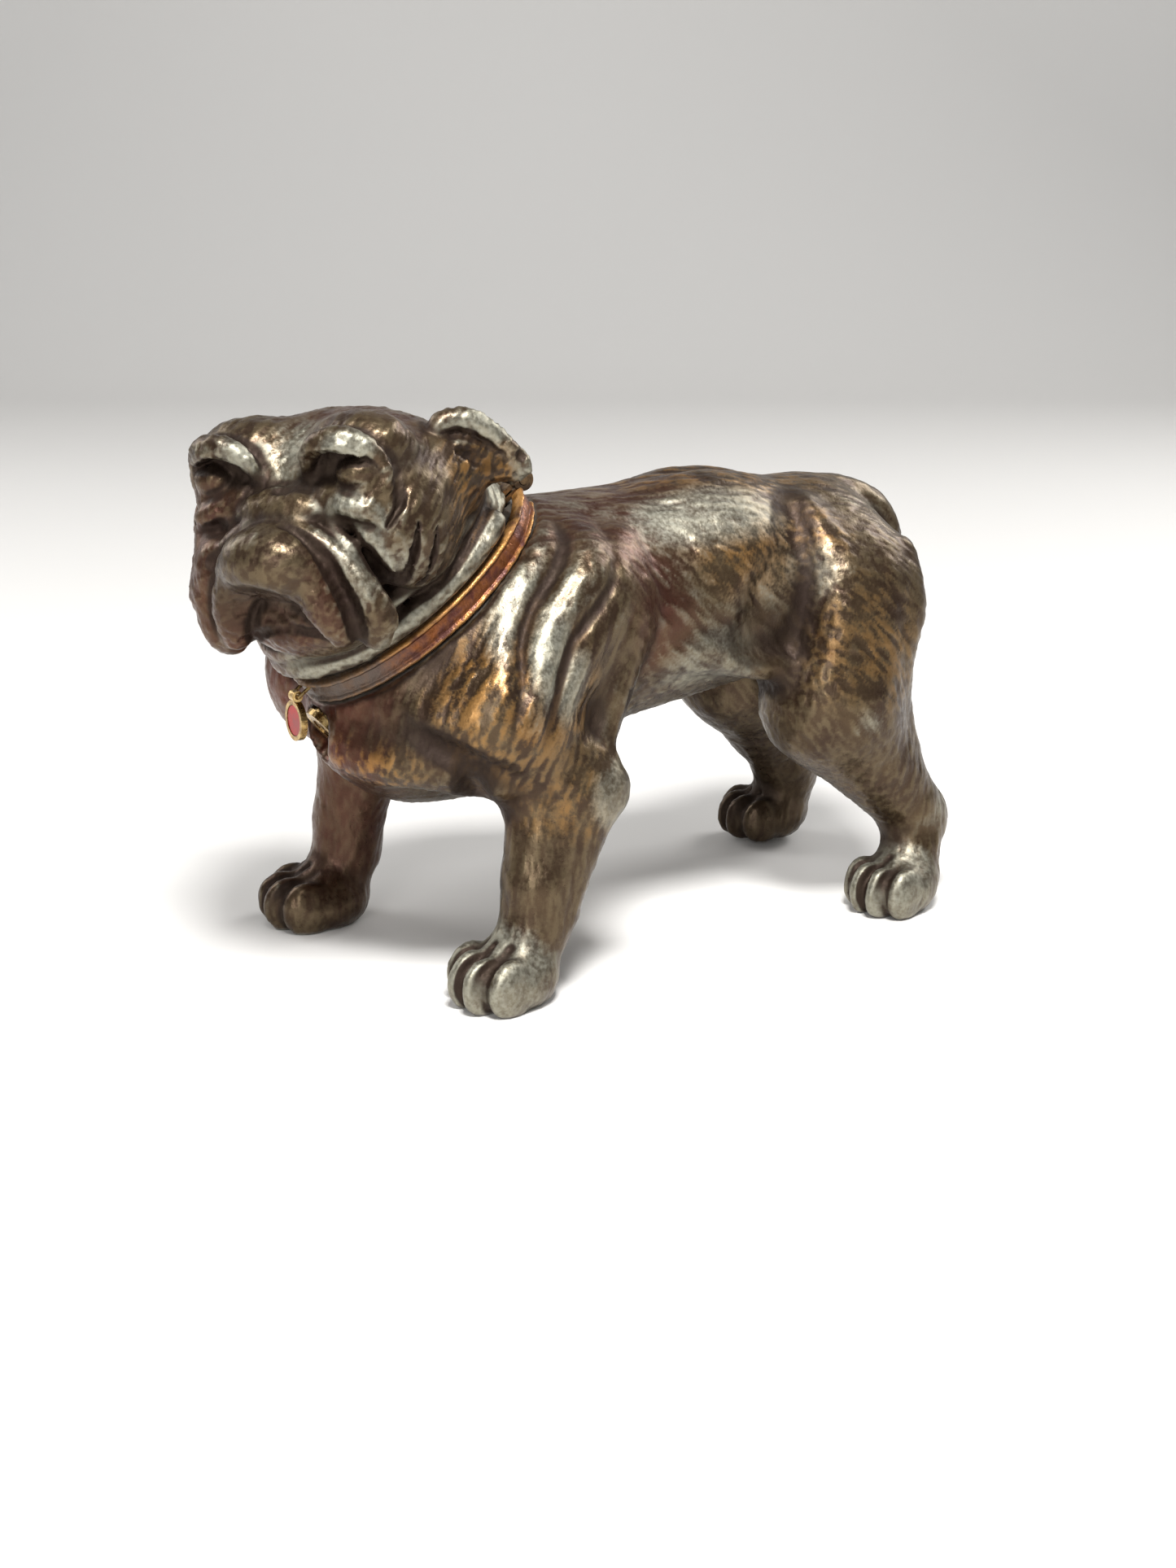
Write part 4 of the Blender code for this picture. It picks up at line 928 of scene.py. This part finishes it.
# the same for the head
# painted reflection: red light reflected into the far cheek, the crown, under the mouth and the near jowl
HEAD_RED_REFLECTION = (
    (0.8, (-12, -6, -6), (12, 14, 16)),
    (0.5, (5, -3, 10), (12, 8, 5)),
    (0.5, (-2, -16, -13), (9, 8, 7)),
    (0.4, (7, -15, -8), (3, 4, 8)),
)
HEAD_GOLD = ((0.8, (15, 5, -3), (6, 10, 10)), (0.6, (15, 4, 4), (6, 7, 5)))
HEAD_WEAR_AND_HIGHLIGHT = (
    (1.1, (0, -10, 8), (4.2, 8, 9)),
    (0.8, (9, -12, -6), (8, 6, 9)),
    (0.9, (7.5, -13.5, 0.0), (4, 4, 3.6)),
    # painted highlight on the ear rim
    (1.3, (16.5, 4.5, 8.4), (5.5, 6.5, 2.6)),
    # painted highlight on top of the nose
    (0.7, (0, -19.5, -2.0), (4, 3.4, 3)),
)
# painted highlights on the brow crests and the near eye lump
BROW_HIGHLIGHT = (
    (1.0, (9.8, -13.6, 7.2), (3.6, 4, 2.4)),
    (0.8, (-4.6, -13, 7.2), (3, 4, 2.6)),
    (0.6, (10, -13, 2.4), (2.6, 3, 2.2)),
)
# painted shade: under the mouth, below the ear rim, on the cheek, in the ear hollow and in the eye sockets
HEAD_PAINTED_SHADE = (
    (1.3, (-1.5, -18, -11), (7.5, 7, 6)),
    (0.9, (16.5, 5, 1), (4.5, 5.5, 4.5)),
    (0.5, (13.5, -5.5, -8), (4.0, 5, 5)),
    (0.5, (15, 4, 2), (4, 5, 5)),
    (1.0, (5.8, -12.6, 4.6), (2.4, 4.0, 2.0)),
    (1.0, (-5.8, -12.6, 4.6), (2.4, 4.0, 2.0)),
)


def casting_head():
    f = head_field()
    verts, quads = skin_of(f)
    verts = relaxed(verts, quads, 1, 0.4)
    normals = normals_of(verts, quads)
    n = NECK.local(verts)
    h = HEAD.local(verts)
    to_middle = np.array([0.0, 3.0, -1.5]) - h
    facing = ((normals @ HEAD.axes) * to_middle).sum(1) / (np.linalg.norm(to_middle, axis=1) + 1e-6)
    inside = fade(facing, 0.1, 0.4) * np.clip(near(h, (0, 2.5, -1.5), (14, 12, 12)) * 8, 0, 1)
    joint = fade(0.7 - n[:, 2], 0, 0.3)
    flat = np.clip(inside + joint, 0, 1)
    hair = head_hair(verts)
    smooth = np.clip(near(h, (0, -17, -4.5), (6.5, 6, 5)) * 2, 0, 1)
    smooth = np.clip(smooth + near(h, (9, -11, 3), (3, 4, 3)) + near(h, (-9, -11, 3), (3, 4, 3)), 0, 1)
    verts, normals, hollow, raised = chased(f, verts, quads, hair * (1 - 0.75 * smooth), 0.10, flat)
    # red: painted reflection of red light; pale: wear with painted highlights on brow, ear rim, nose and
    # neck roll; dark: painted shade
    red, gold = clouds(h, HEAD_RED_REFLECTION), clouds(h, HEAD_GOLD)
    # painted highlight along the near side of the neck roll
    neck_roll_highlight = np.exp(-(((n[:, 2] - 3.0) / 2.4) ** 2)) * fade(n[:, 0], 0, 8)
    pale_wear_and_highlight = clouds(h, HEAD_WEAR_AND_HIGHLIGHT) + 1.2 * clouds(h, BROW_HIGHLIGHT) + 1.2 * neck_roll_highlight
    painted_shade = clouds(h, HEAD_PAINTED_SHADE) + inside
    masks = colour_masks((hollow, raised, hair * 0.5 + 0.5), (red, gold, pale_wear_and_highlight), (painted_shade, flat, inside))
    return mesh_object("bulldog_head", verts, quads, masks)


# ---------------------------------------------------------------- collar
def collar_strap():
    """The strap swept round the neck: a crowned face between two beaded edges."""
    profile = [(-0.82, -1.35), (-0.82, 1.35)]
    lip = [(0.25, 1.5), (0.62, 1.42), (0.8, 1.15), (0.62, 0.9), (0.4, 0.78)]
    crown = [(0.52, 0.4), (0.58, 0.0), (0.52, -0.4)]
    profile += lip + crown + [(out, -up) for out, up in reversed(lip)]
    around = 150
    gap = 0.30
    angles = np.linspace(gap, 2 * math.pi - gap, around)
    half = np.array([(COLLAR_IN[0] + COLLAR_OUT[0]) / 2, (COLLAR_IN[1] + COLLAR_OUT[1]) / 2])
    middle = sum(COLLAR_SPAN) / 2
    verts = []
    for i, q in enumerate(angles):
        out = np.array([math.sin(q) / half[0], math.cos(q) / half[1]])
        out = out / np.linalg.norm(out)
        base = np.array([math.sin(q) * half[0], math.cos(q) * half[1]])
        ripple = 0.05 * math.sin(i * 1.7) + 0.03 * math.sin(i * 0.61)
        for across, up in profile:
            place = base + out * (across * 0.98 + ripple * (across > 0))
            verts.append(NECK.point((place[0], place[1], middle + up)))
    count = len(profile)
    quads = []
    for i in range(around - 1):
        for j in range(count):
            k = (j + 1) % count
            quads.append((i * count + j, i * count + k, (i + 1) * count + k, (i + 1) * count + j))
    verts = np.array(verts)
    here = NECK.local(verts)
    edge = fade(np.abs(here[:, 2] - middle), 0.6, 1.3)
    front = fade(-here[:, 1], 6, 14)
    masks = {"strap": np.stack([edge, front, np.zeros_like(edge)], 1)}
    ob = mesh_object("collar_strap", verts, np.array(quads), masks)
    close_ends(ob)
    rounding = ob.modifiers.new("Edges", "BEVEL")
    rounding.width = 0.08 * MM
    rounding.segments = 2
    rounding.limit_method = "ANGLE"
    rounding.angle_limit = math.radians(50)
    return ob


def close_ends(ob):
    """Fills the two open ends of a swept strap."""
    bm = bmesh.new()
    bm.from_mesh(ob.data)
    bmesh.ops.holes_fill(bm, edges=[e for e in bm.edges if e.is_boundary], sides=0)
    bmesh.ops.recalc_face_normals(bm, faces=bm.faces)
    bm.to_mesh(ob.data)
    bm.free()


# ---------------------------------------------------------------- materials
class Graph:
    """Short names for building a node tree."""

    def __init__(self, name):
        self.material = bpy.data.materials.new(name)
        self.material.use_nodes = True
        self.tree = self.material.node_tree
        self.shader = self.tree.nodes["Principled BSDF"]

    def node(self, kind, **values):
        made = self.tree.nodes.new("ShaderNode" + kind)
        for key, value in values.items():
            setattr(made, key, value)
        return made

    def link(self, source, target):
        self.tree.links.new(source, target)

    def put(self, socket, value):
        if isinstance(value, bpy.types.NodeSocket):
            self.link(value, socket)
        else:
            socket.default_value = value

    def math(self, operation, a, b=0.0, clamp=False):
        made = self.node("Math", operation=operation, use_clamp=clamp)
        self.put(made.inputs[0], a)
        self.put(made.inputs[1], b)
        return made.outputs[0]

    def plus(self, a, b):
        return self.math("ADD", a, b)

    def times(self, a, b):
        return self.math("MULTIPLY", a, b)

    def mix(self, factor, a, b, blend="MIX"):
        made = self.node("Mix", data_type="RGBA", blend_type=blend)
        self.put(made.inputs[0], factor)
        self.put(made.inputs[6], (*a, 1.0) if isinstance(a, tuple) else a)
        self.put(made.inputs[7], (*b, 1.0) if isinstance(b, tuple) else b)
        return made.outputs[2]

    def ramp(self, value, start, end, low=0.0, high=1.0):
        made = self.node("MapRange", interpolation_type="SMOOTHSTEP")
        self.put(made.inputs[0], value)
        made.inputs[1].default_value = start
        made.inputs[2].default_value = end
        made.inputs[3].default_value = low
        made.inputs[4].default_value = high
        return made.outputs[0]

    def coordinates(self, stretch=(1, 1, 1), turn=(0, 0, 0)):
        source = self.node("TexCoord").outputs["Object"]
        mapping = self.node("Mapping")
        mapping.inputs["Scale"].default_value = stretch
        mapping.inputs["Rotation"].default_value = turn
        self.link(source, mapping.inputs["Vector"])
        return mapping.outputs[0]

    def grain(self, scale, detail=3.0, rough=0.55, where=None):
        made = self.node("TexNoise")
        made.inputs["Scale"].default_value = scale
        made.inputs["Detail"].default_value = detail
        made.inputs["Roughness"].default_value = rough
        self.link(where or self.coordinates(), made.inputs["Vector"])
        return made.outputs["Fac"]

    def masks(self, name):
        source = self.node("Attribute", attribute_name=name)
        split = self.node("SeparateColor")
        self.link(source.outputs["Color"], split.inputs[0])
        return split.outputs

    def feed(self, name, value):
        """A value or a socket for one input of the shader."""
        self.put(self.shader.inputs[name], value)

    def bump(self, height, strength, distance):
        made = self.node("Bump")
        made.inputs["Strength"].default_value = strength
        made.inputs["Distance"].default_value = distance
        self.link(height, made.inputs["Height"])
        self.link(made.outputs[0], self.shader.inputs["Normal"])


def patina(name):
    """Cold-painted white metal: brown lacquer over metal, rubbed bright on the high spots, with painted red
    reflection, painted highlights and painted shade in its colour.
    """
    g = Graph(name)
    hollow, raised, hair = g.masks("relief")
    red, gold, pale_wear_and_highlight = g.masks("paint")
    painted_shade, flat, inside = g.masks("shade")
    broad = g.grain(130.0, 3.0)
    patch = g.grain(380.0, 5.0, 0.65)
    fine = g.grain(1900.0, 3.0, 0.6)
    # hair strokes hold paint in their troughs and lose it on their crests
    streak = g.plus(g.times(hair, 0.75), g.times(fine, 0.5))
    crest = g.ramp(streak, 0.45, 0.85)
    lacquer = g.mix(g.ramp(broad, 0.30, 0.72), (0.043, 0.024, 0.014), (0.078, 0.050, 0.026))
    lacquer = g.mix(g.times(crest, 0.55), lacquer, (0.150, 0.112, 0.062))
    # painted reflection: the red mask tints the lacquer with reflected red light
    red_reflection_here = g.times(red, g.ramp(patch, 0.25, 0.6, 0.5, 1.0))
    lacquer = g.mix(g.times(red_reflection_here, 0.75), lacquer, (0.110, 0.020, 0.013))
    rub = g.plus(g.times(streak, 0.75), g.times(patch, 0.9))
    gold_here = g.times(gold, g.ramp(rub, 0.82, 1.16))
    lacquer = g.mix(g.times(gold_here, 0.8), lacquer, (0.42, 0.20, 0.045))
    # bare metal on raised spots and rubbed patches, plus painted highlights from the pale mask
    wear_and_highlight = g.plus(g.times(raised, 0.55), g.times(pale_wear_and_highlight, 0.75))
    wear_and_highlight = g.plus(wear_and_highlight, g.times(g.math("SUBTRACT", patch, 0.5), 0.9))
    wear_and_highlight = g.plus(wear_and_highlight, g.times(g.math("SUBTRACT", streak, 0.6), 0.6))
    wear_and_highlight = g.ramp(wear_and_highlight, 0.38, 1.25)
    wear_and_highlight = g.times(wear_and_highlight, g.ramp(hollow, 0.25, 0.6, 1.0, 0.0))
    wear_and_highlight = g.times(wear_and_highlight, g.ramp(painted_shade, 0.1, 0.8, 1.0, 0.1))
    bare = g.mix(g.ramp(fine, 0.30, 0.70), (0.270, 0.255, 0.195), (0.380, 0.372, 0.305))
    colour = g.mix(g.times(wear_and_highlight, 0.85), lacquer, bare)
    # painted shade: hollows darkened, broken up by the patch noise
    mottled_hollow_shade = g.plus(hollow, g.times(g.math("SUBTRACT", patch, 0.5), 0.25))
    shadow = g.ramp(mottled_hollow_shade, 0.10, 0.52)
    colour = g.mix(g.times(shadow, 0.88), colour, (0.022, 0.012, 0.008))
    # painted shade: darkened where the shade mask is high
    colour = g.mix(g.times(painted_shade, 0.62), colour, (0.030, 0.018, 0.011))
    machined = g.mix(g.ramp(patch, 0.4, 0.65), (0.20, 0.175, 0.145), (0.33, 0.31, 0.28))
    colour = g.mix(g.times(flat, g.ramp(inside, 0.1, 0.6, 0.8, 0.35)), colour, machined)
    g.feed("Base Color", colour)
    g.feed("Metallic", g.ramp(wear_and_highlight, 0.0, 1.0, 0.72, 0.95))
    rough = g.plus(g.ramp(fine, 0.3, 0.7, 0.27, 0.42), g.times(shadow, 0.25))
    rough = g.plus(rough, g.times(wear_and_highlight, 0.14))
    g.feed("Roughness", rough)
    hairline = g.grain(1500.0, 2.0, 0.5, g.coordinates((1.0, 1.0, 0.3), (0.5, 0.0, 0.0)))
    height = g.plus(g.times(hairline, 0.7), g.times(fine, 0.5))
    g.bump(height, 0.4, 0.00018)
    return g.material


def strap_finish():
    g = Graph("gilt_leather")
    patch = g.grain(520.0, 4.0, 0.6)
    fine = g.grain(2200.0, 3.0)
    edge, front, _ = g.masks("strap")
    base = g.mix(g.ramp(patch, 0.38, 0.62), (0.075, 0.020, 0.012), (0.200, 0.068, 0.022))
    # painted shade: the strap's front, under the chin, goes a dark greyish brown and keeps less rubbed gilt
    base = g.mix(g.times(front, 0.8), base, (0.085, 0.070, 0.055))
    rubbed = g.plus(g.times(edge, 0.42), g.times(patch, 0.95))
    rubbed = g.times(g.ramp(rubbed, 0.62, 1.0), g.ramp(front, 0.0, 1.0, 1.0, 0.25))
    base = g.mix(g.times(rubbed, 0.85), base, (0.50, 0.26, 0.08))
    g.feed("Base Color", base)
    g.feed("Metallic", g.ramp(patch, 0.45, 0.7, 0.45, 0.9))
    g.feed("Roughness", g.ramp(fine, 0.3, 0.7, 0.28, 0.48))
    g.bump(fine, 0.5, 0.0002)
    return g.material


def metal(name, light, deep, metallic=1.0, low=0.22, high=0.42):
    """Small turned or stamped fittings, dulled in patches."""
    g = Graph(name)
    patch = g.grain(700.0, 3.0)
    fine = g.grain(3200.0, 2.0)
    g.feed("Base Color", g.mix(g.ramp(patch, 0.36, 0.64), deep, light))
    g.feed("Metallic", metallic)
    rough = g.plus(g.times(patch, 0.5), g.times(fine, 0.5))
    g.feed("Roughness", g.ramp(rough, 0.35, 0.65, low, high))
    g.bump(fine, 0.35, 0.00012)
    return g.material


def enamel():
    g = Graph("red_enamel")
    cloud = g.grain(600.0, 3.0)
    red = g.mix(g.ramp(cloud, 0.35, 0.65), (0.26, 0.004, 0.003), (0.42, 0.010, 0.007))
    g.feed("Base Color", red)
    g.feed("Roughness", g.ramp(cloud, 0.3, 0.7, 0.30, 0.42))
    g.feed("Coat Weight", 0.1)
    g.feed("Specular IOR Level", 0.3)
    g.bump(cloud, 0.25, 0.0001)
    return g.material


def dress(node, material):
    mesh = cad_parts[node]
    mesh.data.materials.clear()
    mesh.data.materials.append(material)


# ---------------------------------------------------------------- assembly
body = casting_body()
head = casting_head()
strap = collar_strap()
body.data.materials.append(patina("patina_body"))
head.data.materials.append(patina("patina_head"))
strap.data.materials.append(strap_finish())
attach(body, "torso")
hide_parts("body_casting")
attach(head, "head")
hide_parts("head_casting")
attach(strap, "torso")
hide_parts("collar_band")

BRASS = metal("worn_brass", (0.62, 0.44, 0.19), (0.26, 0.16, 0.06))
STEEL = metal("dull_steel", (0.46, 0.45, 0.43), (0.20, 0.18, 0.16))
LACQUERED = metal("lacquered_hinge", (0.16, 0.10, 0.05), (0.05, 0.03, 0.018), 0.8, 0.3, 0.5)
for node in ("hinge_leaf_body", "hinge_leaf_head", "hinge_pin"):
    dress(node, LACQUERED)
for node in ("tag_staple", "collar_tag", "leaf_screw_body_left",
             "leaf_screw_body_right", "leaf_screw_head_left", "leaf_screw_head_right", "lock_barrel",
             "lock_nut", "lock_plug"):
    dress(node, BRASS)
for node in ("lock_cam", "cam_screw", "lock_keeper", "keeper_screw_lower", "keeper_screw_upper"):
    dress(node, STEEL)
dress("tag_enamel", enamel())


# ---------------------------------------------------------------- studio
def aim(ob, place, target):
    ob.location = place
    ob.rotation_euler = (Vector(target) - Vector(place)).to_track_quat("-Z", "Y").to_euler()


def softbox(name, place, target, size, power, colour=(1.0, 1.0, 1.0)):
    lamp = bpy.data.lights.new(name, "AREA")
    lamp.shape = "RECTANGLE"
    lamp.size, lamp.size_y = size
    lamp.energy = power
    lamp.color = colour
    ob = bpy.data.objects.new(name, lamp)
    bpy.context.scene.collection.objects.link(ob)
    aim(ob, place, target)


def studio():
    mesh = bpy.data.meshes.new("floor")
    wide, seg = 1.6, 24
    verts = []
    faces = []
    quarter = np.linspace(0, math.pi / 2, seg)
    bend = [(-wide, 0.0)] + [(0.55 + 0.25 * math.sin(t), 0.25 - 0.25 * math.cos(t)) for t in quarter]
    bend.append((0.8, 1.4))
    heading = Vector((-0.8625, 0.506, 0.0)).normalized()
    side = Vector((heading.y, -heading.x, 0.0))
    for run, rise in bend:
        for s in (-wide, wide):
            verts.append(heading * run + side * s + Vector((0, 0, rise)))
    for i in range(len(bend) - 1):
        faces.append((2 * i, 2 * i + 1, 2 * i + 3, 2 * i + 2))
    mesh.from_pydata([tuple(v) for v in verts], [], faces)
    mesh.polygons.foreach_set("use_smooth", [True] * len(faces))
    floor = bpy.data.objects.new("floor", mesh)
    bpy.context.scene.collection.objects.link(floor)
    g = Graph("pale_sweep")
    g.feed("Base Color", g.mix(g.grain(3.0, 2.0), (0.74, 0.725, 0.70), (0.78, 0.765, 0.74)))
    g.feed("Roughness", 0.55)
    mesh.materials.append(g.material)
    softbox("key", (0.24, -0.10, 0.46), (0, 0, 0.03), (0.12, 0.12), 4.0)
    softbox("front", (0.38, -0.42, 0.22), (0, 0, 0.03), (0.24, 0.24), 1.1)
    softbox("side", (-0.40, -0.25, 0.30), (0, 0, 0.03), (0.25, 0.35), 0.9)
    softbox("rim", (-0.05, 0.45, 0.35), (0, 0, 0.04), (0.25, 0.25), 1.4)
    world = bpy.data.worlds.new("studio")
    world.use_nodes = True
    world.node_tree.nodes["Background"].inputs[0].default_value = (0.92, 0.93, 0.95, 1.0)
    world.node_tree.nodes["Background"].inputs[1].default_value = 0.30
    bpy.context.scene.world = world
    bpy.context.scene.view_settings.view_transform = "Standard"


def camera():
    data = bpy.data.cameras.new("photo_view")
    data.sensor_fit = "VERTICAL"
    data.sensor_height = 36.0
    data.lens = 52.31
    ob = bpy.data.objects.new("photo_view", data)
    bpy.context.scene.collection.objects.link(ob)
    pitch = math.radians(16.596)
    heading = Vector((-0.8625, 0.506, 0.0)).normalized()
    forward = heading * math.cos(pitch) + Vector((0, 0, -math.sin(pitch)))
    right = forward.cross(Vector((0, 0, 1))).normalized()
    up = right.cross(forward)
    place = Matrix((right, up, -forward)).transposed().to_4x4()
    place.translation = Vector((243.1, -140.6, 102.8)) * MM
    ob.matrix_world = place
    bpy.context.scene.camera = ob


studio()
camera()
